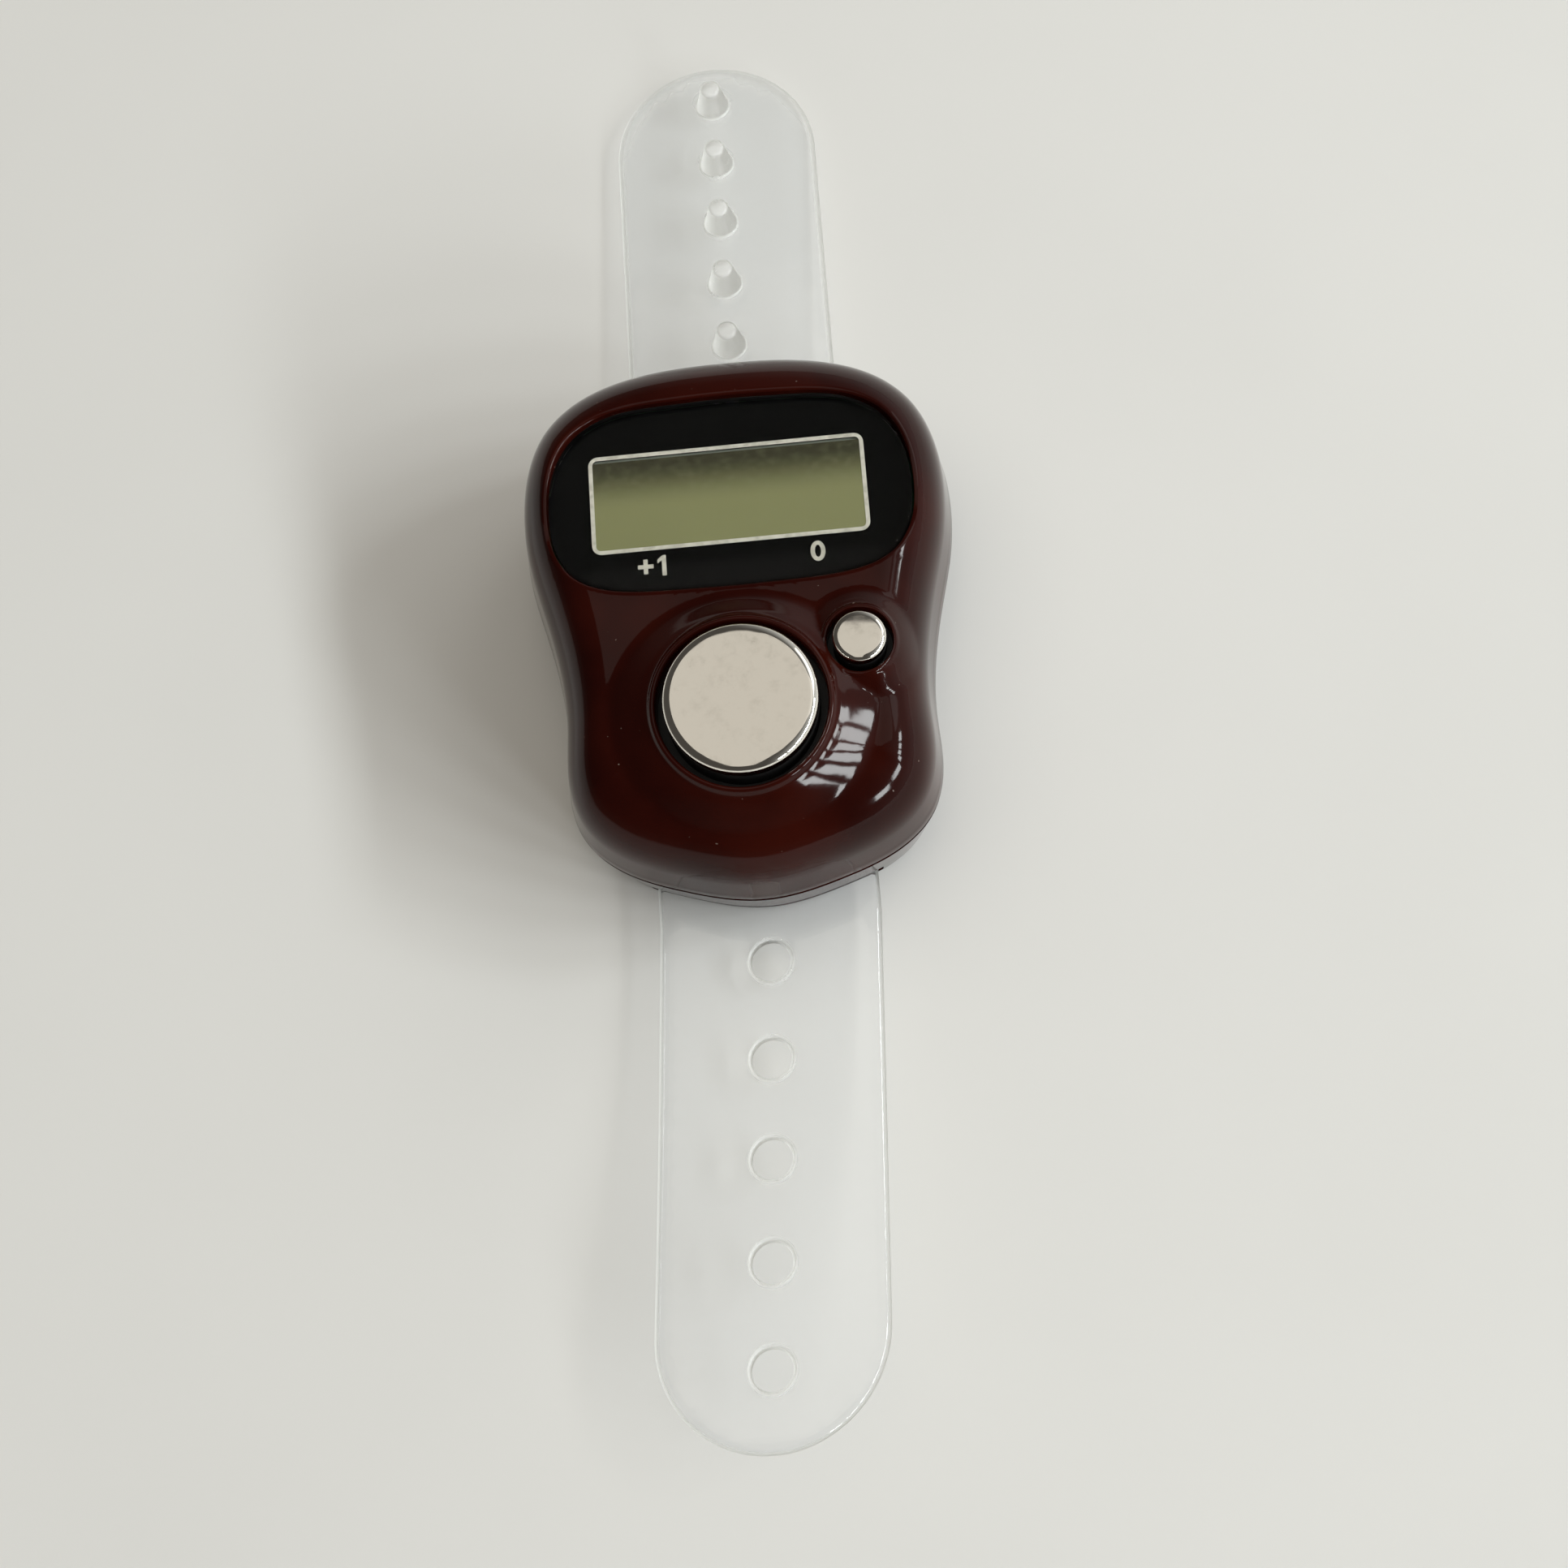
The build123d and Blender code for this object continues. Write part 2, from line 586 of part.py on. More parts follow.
def cell_contacts():
    """Leaf that presses on the cap and blade that presses on the can's side, both from the board."""
    touch_z = cell_top_z + CONTACT_TOUCH
    foot_x = -CONTACT_FOOT - CONTACT_SLOPE
    bend_x = -CONTACT_SLOPE
    leaf = make_face(Polyline(
        (foot_x, board_bottom_z), (bend_x, board_bottom_z), (0, touch_z + CONTACT_T),
        (CONTACT_PAD, touch_z + CONTACT_T), (CONTACT_PAD, touch_z), (0, touch_z),
        (bend_x, board_bottom_z - CONTACT_T), (foot_x, board_bottom_z - CONTACT_T), close=True,
    ))
    blade_x = cell_r + CONTACT_TOUCH
    blade_out_x = blade_x + CONTACT_T
    blade_end_x = blade_x + CONTACT_FOOT
    blade_low_z = cell_bottom_z + CONTACT_LIFT
    blade = make_face(Polyline(
        (blade_x, blade_low_z), (blade_out_x, blade_low_z), (blade_out_x, board_bottom_z - CONTACT_T),
        (blade_end_x, board_bottom_z - CONTACT_T), (blade_end_x, board_bottom_z), (blade_x, board_bottom_z),
        close=True,
    ))
    strips = [
        at(cell_place) * extrude(Plane.XZ * face, amount=CONTACT_W / 2, both=True) for face in (leaf, blade)
    ]
    return {"negative_contact": strips[0], "positive_contact": strips[1]}


def screw(place, seat_z, length):
    """Cross-head screw, head down, with its shank up from the seat."""
    body = round_bar(place, SCREW_HEAD_R, seat_z - SCREW_HEAD_H, seat_z)
    body += round_bar(place, SCREW_R, seat_z, seat_z + length)
    low_z = seat_z - SCREW_HEAD_H - OVERRUN
    cross_z = seat_z - SCREW_HEAD_H + SCREW_CROSS_DEPTH
    body -= slab(SCREW_CROSS_L, SCREW_CROSS_W, low_z, cross_z, place)
    body -= slab(SCREW_CROSS_W, SCREW_CROSS_L, low_z, cross_z, place)
    return body


def screws():
    """Screws that join the shells, and screws that hold the board."""
    return {
        "case_screws": Compound([screw(place, case_head_z, CASE_SCREW_L) for place in case_screw_places]),
        "board_screws": Compound([screw(place, board_bottom_z, BOARD_SCREW_L) for place in board_screw_places]),
    }


def tail_height(rise, mid_share, share):
    """Height of a tail's middle layer above its bend line, at a share of its length."""
    return rise * ((2 - 4 * mid_share) * share**2 + (4 * mid_share - 1) * share)


def tail_strip(length, rise, mid_share, lean_deg):
    """Curved strip with a round end, from a bend line along X at the origin, running out along +Y."""
    lean = math.radians(lean_deg)
    end_r = STRAP_W / 2
    along = Vector(math.sin(lean), math.cos(lean))
    across = Vector(math.cos(lean), -math.sin(lean))
    end_centre = along * (length - end_r)
    right = end_centre + across * end_r
    left = end_centre - across * end_r
    plan = make_face([
        Line((-end_r, 0), (end_r, 0)), Line((end_r, 0), right),
        ThreePointArc(right, end_centre + along * end_r, left), Line(left, (-end_r, 0)),
    ])
    far = length + OVERRUN
    half_t = STRAP_T / 2
    heights = [(far * share, tail_height(rise, mid_share, share)) for share in (0, 1 / 2, 1)]
    upper = [(y, z + half_t) for y, z in heights]
    lower = [(y, z - half_t) for y, z in heights]
    side = make_face([
        ThreePointArc(*upper), Line(upper[-1], lower[-1]), ThreePointArc(*lower), Line(lower[0], upper[0]),
    ])
    band = extrude(Plane.YZ * side, amount=STRAP_W, both=True)
    depth = abs(rise) + STRAP_T
    strip = band & extrude(Pos(0, 0, -depth) * plan, amount=2 * depth)
    return strip + Rot(0, 90, 0) * Cylinder(half_t, STRAP_W)


def peg():
    """Tapered peg with a rounded tip, rooted in the strip's middle layer."""
    top_z = STRAP_T / 2 + PEG_H
    solid = turned((0, 0), [(0, 0), (PEG_BASE_R, 0), (PEG_BASE_R, STRAP_T / 2), (PEG_TIP_R, top_z), (0, top_z)])
    return fillet(solid.edges().group_by(Axis.Z)[-1], PEG_ROUND)


def strap():
    """Clear strap: its stretch through the loops, the tail with pegs and the tail with holes."""
    centre_l = 2 * (bend_y - STRAP_T / 2 - BEND_GAP)
    centre = slab(STRAP_W, centre_l, strap_z - STRAP_T / 2, strap_z + STRAP_T / 2)
    pegs = tail_strip(PEG_TAIL_L, PEG_TAIL_RISE, PEG_TAIL_MID_SHARE, 0)
    for index in range(PEG_COUNT):
        y = PEG_TAIL_L - PEG_END_GAP - index * PEG_PITCH
        pegs += Pos(0, y, tail_height(PEG_TAIL_RISE, PEG_TAIL_MID_SHARE, y / PEG_TAIL_L)) * peg()
    holes = tail_strip(HOLE_TAIL_L, HOLE_TAIL_RISE, HOLE_TAIL_MID_SHARE, HOLE_TAIL_LEAN_DEG)
    lean = math.radians(HOLE_TAIL_LEAN_DEG)
    drill_h = 2 * (HOLE_TAIL_RISE + STRAP_T)
    for index in range(HOLE_COUNT):
        reach = HOLE_TAIL_L - HOLE_END_GAP - index * HOLE_PITCH
        holes -= Pos(reach * math.sin(lean), reach * math.cos(lean), 0) * Cylinder(HOLE_R, drill_h)
    return {
        "strap_centre": centre,
        "strap_peg_tail": Pos(0, bend_y, strap_z) * pegs,
        "strap_hole_tail": Pos(0, -bend_y, strap_z) * Rot(0, 0, 180) * holes,
    }


def build():
    """All nodes of the part by name, with the whole box centred along Y."""
    nodes = {
        "front_shell": front_shell(),
        "rear_shell": rear_shell(),
        "window_lens": lens_plate(0, lens_bottom_z, lens_top_z),
        "window_mask": window_mask(),
        **display(),
        "circuit_board": circuit_board(),
        "contact_pads": Compound([pad for button in buttons for pad in button.pads()]),
        **board_parts(),
        **button_cell(),
        **cell_contacts(),
        **screws(),
        "count_button": count.cap(),
        "count_dome": count.dome(),
        "count_pill": count.pill(),
        "reset_button": reset.cap(),
        "reset_dome": reset.dome(),
        "reset_pill": reset.pill(),
        **strap(),
    }
    high_y = nodes["strap_peg_tail"].bounding_box().max.Y
    low_y = nodes["strap_hole_tail"].bounding_box().min.Y
    shift = -(high_y + low_y) / 2
    print(f"casing centre y {shift:.4f}")
    print(f"bend lines y {shift + bend_y:.4f} and {shift - bend_y:.4f}, z {strap_z:.4f}")
    print(f"saddle y {shift:.4f}, foot bars y {shift + saddle_half:.4f} and {shift - saddle_half:.4f}")
    print(f"dome base z {board_top_z:.4f}")
    return {name: Pos(0, shift, 0) * node for name, node in nodes.items()}


if __name__ == "__main__":
    os.makedirs("parts", exist_ok=True)
    for name, node in build().items():
        export_step(node, f"parts/{name}.step")
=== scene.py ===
"""Looks of a finger tally counter with a clear strap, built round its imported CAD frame.

Sizes in the classes are in millimetres, and meshes are in metres. The origin is on the table, +Y runs along
the strap towards the display end, and +Z points up out of the face.
"""

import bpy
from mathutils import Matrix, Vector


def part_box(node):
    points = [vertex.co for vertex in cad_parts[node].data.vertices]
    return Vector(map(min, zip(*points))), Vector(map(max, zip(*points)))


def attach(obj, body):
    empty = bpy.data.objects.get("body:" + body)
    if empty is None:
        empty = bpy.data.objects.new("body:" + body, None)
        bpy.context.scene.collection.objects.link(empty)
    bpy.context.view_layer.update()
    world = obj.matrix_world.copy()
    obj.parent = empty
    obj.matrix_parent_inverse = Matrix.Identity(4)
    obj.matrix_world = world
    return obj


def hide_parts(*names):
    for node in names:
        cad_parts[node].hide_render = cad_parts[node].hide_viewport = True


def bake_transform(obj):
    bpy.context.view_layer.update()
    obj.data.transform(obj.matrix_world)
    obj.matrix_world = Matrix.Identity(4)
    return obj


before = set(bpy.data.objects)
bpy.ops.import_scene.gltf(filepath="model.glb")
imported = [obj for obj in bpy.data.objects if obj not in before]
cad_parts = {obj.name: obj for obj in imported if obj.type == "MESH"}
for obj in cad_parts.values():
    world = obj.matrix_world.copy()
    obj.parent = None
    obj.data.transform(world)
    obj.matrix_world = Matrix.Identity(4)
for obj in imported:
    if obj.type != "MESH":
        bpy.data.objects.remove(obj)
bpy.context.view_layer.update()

import logging
import math
from dataclasses import dataclass, field
from enum import Enum
from typing import Callable, Optional, Sequence, Union

import bmesh
import bpy
import numpy as np
from mathutils import Matrix, Vector
from mathutils.geometry import delaunay_2d_cdt
from mathutils.kdtree import KDTree

MM = 0.001
NO_POINTS = np.zeros((0, 2))
log = logging.getLogger("counter")

Pair = tuple[float, float]
Place = tuple[float, float, float]
Colour = tuple[float, float, float]
Placer = Callable[[np.ndarray], np.ndarray]


class Body(Enum):
    """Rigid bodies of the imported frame."""

    CASING = "casing"
    COUNT_KEY = "count_key"
    RESET_KEY = "reset_key"
    PEG_TAIL = "peg_tail"
    HOLE_TAIL = "hole_tail"


class Aim(Enum):
    """What a lamp faces."""

    COUNTER = "counter"
    DOWN = "down"


class Slot(Enum):
    """Material slots of the record."""

    CASING = "casing"
    WINDOW = "window_clear"
    PRINT = "window_print"
    PLATING = "button_plating"
    STRAP = "strap_clear"
    SILICONE = "silicone"
    STEEL = "plain_steel"


# Shader tools


class Value:
    """A shader socket that takes part in Python arithmetic."""

    def __init__(self, shader: "Shader", socket: bpy.types.NodeSocket) -> None:
        """Wraps one output socket of a shader."""
        self.shader = shader
        self.socket = socket

    def _math(self, operation: str, first: "Input", second: "Input") -> "Value":
        """One Math node on two values.

        Args:
            operation: Math node operation.
            first: left value.
            second: right value.

        Returns:
            The node's result.
        """
        return self.shader.node("ShaderNodeMath", {"operation": operation}, {0: first, 1: second}).value()

    def __add__(self, other: "Input") -> "Value":
        """Sum."""
        return self._math("ADD", self, other)

    def __radd__(self, other: "Input") -> "Value":
        """Sum, reflected."""
        return self._math("ADD", other, self)

    def __sub__(self, other: "Input") -> "Value":
        """Difference."""
        return self._math("SUBTRACT", self, other)

    def __rsub__(self, other: "Input") -> "Value":
        """Difference, reflected."""
        return self._math("SUBTRACT", other, self)

    def __mul__(self, other: "Input") -> "Value":
        """Product."""
        return self._math("MULTIPLY", self, other)

    def __rmul__(self, other: "Input") -> "Value":
        """Product, reflected."""
        return self._math("MULTIPLY", other, self)

    def over(self, low: float, high: float) -> "Value":
        """Smooth step from 0 at low to 1 at high.

        Args:
            low: value that gives 0.
            high: value that gives 1.

        Returns:
            The stepped value.
        """
        settings = {"interpolation_type": "SMOOTHSTEP"}
        return self.shader.node("ShaderNodeMapRange", settings, {0: self, 1: low, 2: high, 3: 0.0, 4: 1.0}).value()


Input = Union[Value, float, int, tuple]


class Made:
    """A node that was added to a shader."""

    def __init__(self, shader: "Shader", node: bpy.types.Node) -> None:
        """Keeps the node with its shader."""
        self.shader = shader
        self.node = node

    def value(self, name: Union[str, int] = 0) -> Value:
        """One output of the node, by name or place."""
        return Value(self.shader, self.node.outputs[name])


class Shader:
    """Node tree of one material or world."""

    def __init__(self, tree: bpy.types.NodeTree) -> None:
        """Empties the tree and keeps it."""
        self.tree = tree
        tree.nodes.clear()
        self._place: Optional[Value] = None

    def node(self, kind: str, settings: dict, inputs: dict) -> Made:
        """Adds a node.

        Args:
            kind: node type.
            settings: properties that are set first.
            inputs: values or links of its sockets, by name or place.

        Returns:
            The node that was made.
        """
        made = self.tree.nodes.new(kind)
        for key, value in settings.items():
            setattr(made, key, value)
        for key, value in inputs.items():
            socket = made.inputs[key]
            if isinstance(value, Value):
                self.tree.links.new(value.socket, socket)
            else:
                socket.default_value = value
        return Made(self, made)

    def place(self) -> Value:
        """Object coordinates, in metres in the part's frame."""
        if self._place is None:
            self._place = self.node("ShaderNodeTexCoord", {}, {}).value("Object")
        return self._place

    def axis(self, name: str) -> Value:
        """One Object coordinate in millimetres."""
        return self.node("ShaderNodeSeparateXYZ", {}, {0: self.place()}).value(name) * (1 / MM)

    def noise(self, size_mm: float, detail: float = 2.0, rough: float = 0.5) -> Value:
        """Soft noise whose lumps are about a size in millimetres.

        Args:
            size_mm: size of a lump.
            detail: octaves of finer noise.
            rough: strength of the finer noise.

        Returns:
            Noise from 0 to 1.
        """
        inputs = {"Vector": self.place(), "Scale": 1 / (size_mm * MM), "Detail": detail, "Roughness": rough}
        return self.node("ShaderNodeTexNoise", {}, inputs).value("Fac")

    def blend(self, share: Input, first: Input, second: Input) -> Value:
        """Colour between two colours by a share."""
        inputs = {"Factor": share, 6: first, 7: second}
        return self.node("ShaderNodeMix", {"data_type": "RGBA"}, inputs).value(2)

    def bump(self, height: Value, strength: float, depth_mm: float) -> Value:
        """Normal from a height.

        Args:
            height: height from 0 to 1.
            strength: share of the bump that shows.
            depth_mm: depth of a height of 1.

        Returns:
            The bumped normal.
        """
        inputs = {"Strength": strength, "Distance": depth_mm * MM, "Height": height}
        return self.node("ShaderNodeBump", {}, inputs).value("Normal")

    def principled(self, inputs: dict) -> Value:
        """Principled shader with some inputs set."""
        return self.node("ShaderNodeBsdfPrincipled", {}, inputs).value()

    def output(self, surface: Value, kind: str = "ShaderNodeOutputMaterial") -> None:
        """Links a surface to the output."""
        self.node(kind, {}, {"Surface": surface})


def flat(colour: Colour) -> tuple[float, float, float, float]:
    """Colour with full alpha."""
    return (*colour, 1.0)


@dataclass(frozen=True)
class Finish:
    """A finish of one material; its subclasses say how it is shaded."""

    name: str

    def shade(self, shader: Shader) -> Value:
        """Builds the surface shader.

        Args:
            shader: tools of the material's node tree.

        Returns:
            The finished surface.
        """
        raise NotImplementedError

    def material(self) -> bpy.types.Material:
        """The material of this finish, made once.

        Returns:
            The material, new or from an earlier call.
        """
        found = bpy.data.materials.get(self.name)
        if found is not None:
            return found
        material = bpy.data.materials.new(self.name)
        material.use_nodes = True
        shader = Shader(material.node_tree)
        shader.output(self.shade(shader))
        return material


@dataclass(frozen=True)
class GlossMoulding(Finish):
    """High-gloss pigmented moulding with a faint flow mark and a trace of orange peel."""

    deep: Colour = (0.0175, 0.0018, 0.0009)
    warm: Colour = (0.033, 0.0038, 0.0018)
    roughness: float = 0.075
    flow_mm: float = 7.0
    peel_mm: float = 0.9

    def shade(self, shader: Shader) -> Value:
        """Builds the surface shader.

        Args:
            shader: tools of the material's node tree.

        Returns:
            The finished surface.
        """
        flow = shader.noise(self.flow_mm, 3.0).over(0.3, 0.7)
        rubbed = shader.noise(2.2, 4.0, 0.65).over(0.52, 0.75)
        specks = 1 - shader.noise(0.33, 1.0).over(0.16, 0.2)
        tint = shader.blend(flow, flat(self.deep), flat(self.warm))
        colour = shader.blend(specks * 0.5, tint, flat((0.30, 0.24, 0.21)))
        return shader.principled({
            "Base Color": colour,
            "Roughness": self.roughness + rubbed * 0.045 + specks * 0.3,
            "IOR": 1.5,
            "Specular IOR Level": 0.2,
            "Normal": shader.bump(shader.noise(self.peel_mm, 2.0), 0.10, 0.02),
        })


@dataclass(frozen=True)
class Plating(Finish):
    """Bright plating that is a little wavy and lightly rubbed."""

    colour: Colour = (0.90, 0.872, 0.805)
    roughness: float = 0.06

    def shade(self, shader: Shader) -> Value:
        """Builds the surface shader.

        Args:
            shader: tools of the material's node tree.

        Returns:
            The finished surface.
        """
        rubbed = shader.noise(1.1, 5.0, 0.7).over(0.45, 0.8)
        wave = shader.noise(2.6, 2.0)
        tint = shader.blend(rubbed * 0.5, flat(self.colour), flat((0.76, 0.73, 0.66)))
        return shader.principled({
            "Base Color": tint,
            "Metallic": 1.0,
            "Roughness": self.roughness + rubbed * 0.09,
            "Normal": shader.bump(wave, 0.45, 0.05),
        })


@dataclass(frozen=True)
class ClearMoulding(Finish):
    """Clear soft or hard plastic that lets lamp light through, with a little haze."""

    tint: Colour = (0.975, 0.98, 0.975)
    haze: float = 0.05
    roughness: float = 0.035
    ior: float = 1.47
    wave_mm: float = 3.0
    wave_depth_mm: float = 0.02
    edge_shade: float = 0.5
    edge_glow: float = 0.0

    def shade(self, shader: Shader) -> Value:
        """Builds the surface shader.

        Args:
            shader: tools of the material's node tree.

        Returns:
            The finished surface.
        """
        rubbed = shader.noise(1.6, 4.0, 0.6).over(0.5, 0.8)
        body = shader.principled({
            "Base Color": flat(self.tint),
            "Roughness": self.roughness + rubbed * 0.05,
            "IOR": self.ior,
            "Transmission Weight": 1 - self.haze,
            "Normal": shader.bump(shader.noise(self.wave_mm, 2.0), 0.3, self.wave_depth_mm),
        })
        through = shader.node("ShaderNodeBsdfTransparent", {}, {"Color": flat(self.tint)}).value()
        rays = shader.node("ShaderNodeLightPath", {}, {})
        room_light = rays.value("Is Shadow Ray") + rays.value("Is Diffuse Ray")
        edge = shader.node("ShaderNodeLayerWeight", {}, {"Blend": 0.5}).value("Facing").over(0.35, 0.95)
        passed = room_light * (1 - self.haze - edge * self.edge_shade)
        if self.edge_glow:
            glow = shader.node("ShaderNodeBsdfTranslucent", {}, {"Color": flat((0.95, 0.95, 0.93))}).value()
            rim = shader.node("ShaderNodeLayerWeight", {}, {"Blend": 0.5}).value("Facing").over(0.1, 0.4)
            body = shader.node("ShaderNodeMixShader", {}, {0: rim * self.edge_glow, 1: body, 2: glow}).value()
        return shader.node("ShaderNodeMixShader", {}, {0: passed, 1: body, 2: through}).value()


@dataclass(frozen=True)
class Ink(Finish):
    """Printed ink with a faint unevenness."""

    colour: Colour = (0.0014, 0.0014, 0.0015)
    worn: Colour = (0.003, 0.003, 0.003)
    roughness: float = 0.3
    grain_mm: float = 0.4

    def shade(self, shader: Shader) -> Value:
        """Builds the surface shader.

        Args:
            shader: tools of the material's node tree.

        Returns:
            The finished surface.
        """
        grain = shader.noise(self.grain_mm, 3.0)
        return shader.principled({
            "Base Color": shader.blend(grain.over(0.35, 0.75), flat(self.colour), flat(self.worn)),
            "Roughness": self.roughness + grain * 0.1,
            "Specular IOR Level": 0.0,
        })


@dataclass(frozen=True)
class DisplayFilm(Finish):
    """Grey-green display film with painted shade darkening it towards its upper edge, where the window's frame shades
    it.
    """

    low_y: float = 0.0
    high_y: float = 1.0
    pale: Colour = (0.235, 0.24, 0.116)
    frame_shade: Colour = (0.036, 0.035, 0.020)

    def shade(self, shader: Shader) -> Value:
        """Builds the surface shader.

        Args:
            shader: tools of the material's node tree.

        Returns:
            The finished surface.
        """
        span = self.high_y - self.low_y
        # Painted shade: the colour darkens towards the upper edge, standing in for the frame's shadow on the film.
        upper = shader.axis("Y").over(self.low_y + span * 0.42, self.high_y - span * 0.04)
        mottle = shader.noise(0.5, 5.0, 0.7)
        colour = shader.blend(upper, flat(self.pale), flat(self.frame_shade))
        colour = shader.blend(mottle.over(0.4, 0.8) * 0.22, colour, flat((0.25, 0.25, 0.15)))
        return shader.principled({
            "Base Color": colour,
            "Roughness": 0.42 + mottle * 0.1,
            "Specular IOR Level": 0.1,
            "Normal": shader.bump(shader.noise(0.12, 1.0), 0.15, 0.01),
        })


@dataclass(frozen=True)
class PlainStock(Finish):
    """Plain material of an inner piece, with a grain of its own."""

    colour: Colour = (0.5, 0.5, 0.5)
    second: Colour = (0.45, 0.45, 0.45)
    roughness: float = 0.5
    metallic: float = 0.0
    grain_mm: float = 0.5
    depth_mm: float = 0.01

    def shade(self, shader: Shader) -> Value:
        """Builds the surface shader.

        Args:
            shader: tools of the material's node tree.

        Returns:
            The finished surface.
        """
        grain = shader.noise(self.grain_mm, 4.0, 0.6)
        return shader.principled({
            "Base Color": shader.blend(grain.over(0.35, 0.7), flat(self.colour), flat(self.second)),
            "Metallic": self.metallic,
            "Roughness": self.roughness + grain * 0.12,
            "Normal": shader.bump(grain, 0.25, self.depth_mm),
        })


@dataclass(frozen=True)
class TablePaint(Finish):
    """Dull pale paint."""

    colour: Colour = (0.81, 0.81, 0.795)
    second: Colour = (0.795, 0.795, 0.78)

    def shade(self, shader: Shader) -> Value:
        """Builds the surface shader.

        Args:
            shader: tools of the material's node tree.

        Returns:
            The finished surface.
        """
        patch = shader.noise(30.0, 3.0).over(0.35, 0.7)
        return shader.principled({
            "Base Color": shader.blend(patch, flat(self.colour), flat(self.second)),
            "Roughness": 0.75 + patch * 0.05,
            "Specular IOR Level": 0.12,
        })


@dataclass(frozen=True)
class TrackedBoard(Finish):
    """Green solder resist over copper tracks."""

    resist: Colour = (0.012, 0.095, 0.035)
    track: Colour = (0.03, 0.17, 0.06)
    pitch_mm: float = 1.3

    def shade(self, shader: Shader) -> Value:
        """Builds the surface shader.

        Args:
            shader: tools of the material's node tree.

        Returns:
            The finished surface.
        """
        settings = {"wave_type": "BANDS", "bands_direction": "DIAGONAL"}
        inputs = {"Vector": shader.place(), "Scale": 0.3 / (self.pitch_mm * MM), "Distortion": 2.0}
        tracks = shader.node("ShaderNodeTexWave", settings, inputs).value("Fac").over(0.45, 0.6)
        return shader.principled({
            "Base Color": shader.blend(tracks, flat(self.resist), flat(self.track)),
            "Roughness": 0.35 + shader.noise(0.6, 3.0) * 0.1,
            "Normal": shader.bump(tracks, 0.3, 0.03),
        })


CASING_GLOSS = GlossMoulding("casing_gloss")
BRIGHT_PLATING = Plating("bright_plating")
STRAP_CLEAR = ClearMoulding("strap_clear_vinyl", tint=(0.965, 0.973, 0.982), edge_glow=0.85)
PEG_CLEAR = ClearMoulding("peg_clear_vinyl", haze=0.3, roughness=0.25, ior=1.3, edge_glow=0.85)
WINDOW_CLEAR = ClearMoulding("window_clear_acrylic", haze=0.0, roughness=0.015, ior=1.13, wave_depth_mm=0.004)
# Painted shade: flat black for the buttons' lower walls, flanges and stems, standing in for the shade in the gaps
# round them.
PAINTED_GAP_SHADE = PlainStock("bare_black_moulding", (0.006, 0.006, 0.006), (0.012, 0.011, 0.011), 0.45, 0.0, 0.6)
PRINT_BLACK = Ink("print_black")
PRINT_WHITE = Ink("print_white", colour=(0.68, 0.66, 0.585), worn=(0.50, 0.485, 0.42))
DISPLAY_GLASS = PlainStock("display_glass", (0.30, 0.33, 0.28), (0.26, 0.29, 0.25), 0.08, 0.0, 2.0, 0.002)
CELL_STEEL = PlainStock("cell_steel", (0.60, 0.59, 0.57), (0.50, 0.49, 0.47), 0.28, 1.0, 0.8)
CONTACT_NICKEL = PlainStock("contact_nickel", (0.64, 0.62, 0.57), (0.52, 0.50, 0.46), 0.24, 1.0, 0.4)
PILL_CARBON = PlainStock("pill_carbon", (0.012, 0.012, 0.012), (0.03, 0.03, 0.03), 0.7, 0.0, 0.2)
DOME_SILICONE = PlainStock("dome_silicone", (0.62, 0.62, 0.59), (0.54, 0.54, 0.51), 0.55, 0.0, 0.8)
SCREW_STEEL = PlainStock("screw_steel", (0.55, 0.54, 0.52), (0.42, 0.41, 0.39), 0.22, 1.0, 0.3)

INNER_FINISHES: dict[str, Finish] = {
    "lcd_front_glass": DISPLAY_GLASS,
    "lcd_rear_glass": DISPLAY_GLASS,
    "lcd_rear_polariser": PlainStock("rear_film", (0.35, 0.35, 0.32), (0.30, 0.30, 0.28), 0.4),
    "zebra_strip": PlainStock("strip_rubber", (0.10, 0.075, 0.08), (0.05, 0.04, 0.04), 0.6, 0.0, 0.2),
    "lcd_foam_pad": PlainStock("pad_foam", (0.6, 0.6, 0.57), (0.45, 0.45, 0.42), 0.85, 0.0, 0.25, 0.06),
    "circuit_board": TrackedBoard("board_resist"),
    "contact_pads": PlainStock("pad_gold", (0.78, 0.53, 0.16), (0.68, 0.44, 0.12), 0.25, 1.0, 0.2),
    "chip_blob": PlainStock("blob_epoxy", (0.008, 0.008, 0.008), (0.014, 0.013, 0.013), 0.18, 0.0, 1.2, 0.03),
    "chip_resistor": PlainStock("resistor_body", (0.02, 0.02, 0.022), (0.06, 0.06, 0.06), 0.5, 0.0, 0.5),
    "chip_capacitor": PlainStock("capacitor_body", (0.30, 0.19, 0.11), (0.24, 0.15, 0.09), 0.5, 0.0, 0.4),
    "cell_can": CELL_STEEL,
    "cell_cap": CELL_STEEL,
    "cell_gasket": PlainStock("gasket_nylon", (0.52, 0.50, 0.43), (0.45, 0.43, 0.37), 0.5, 0.0, 0.5),
    "negative_contact": CONTACT_NICKEL,
    "positive_contact": CONTACT_NICKEL,
    "count_pill": PILL_CARBON,
    "reset_pill": PILL_CARBON,
}


# Mesh tools


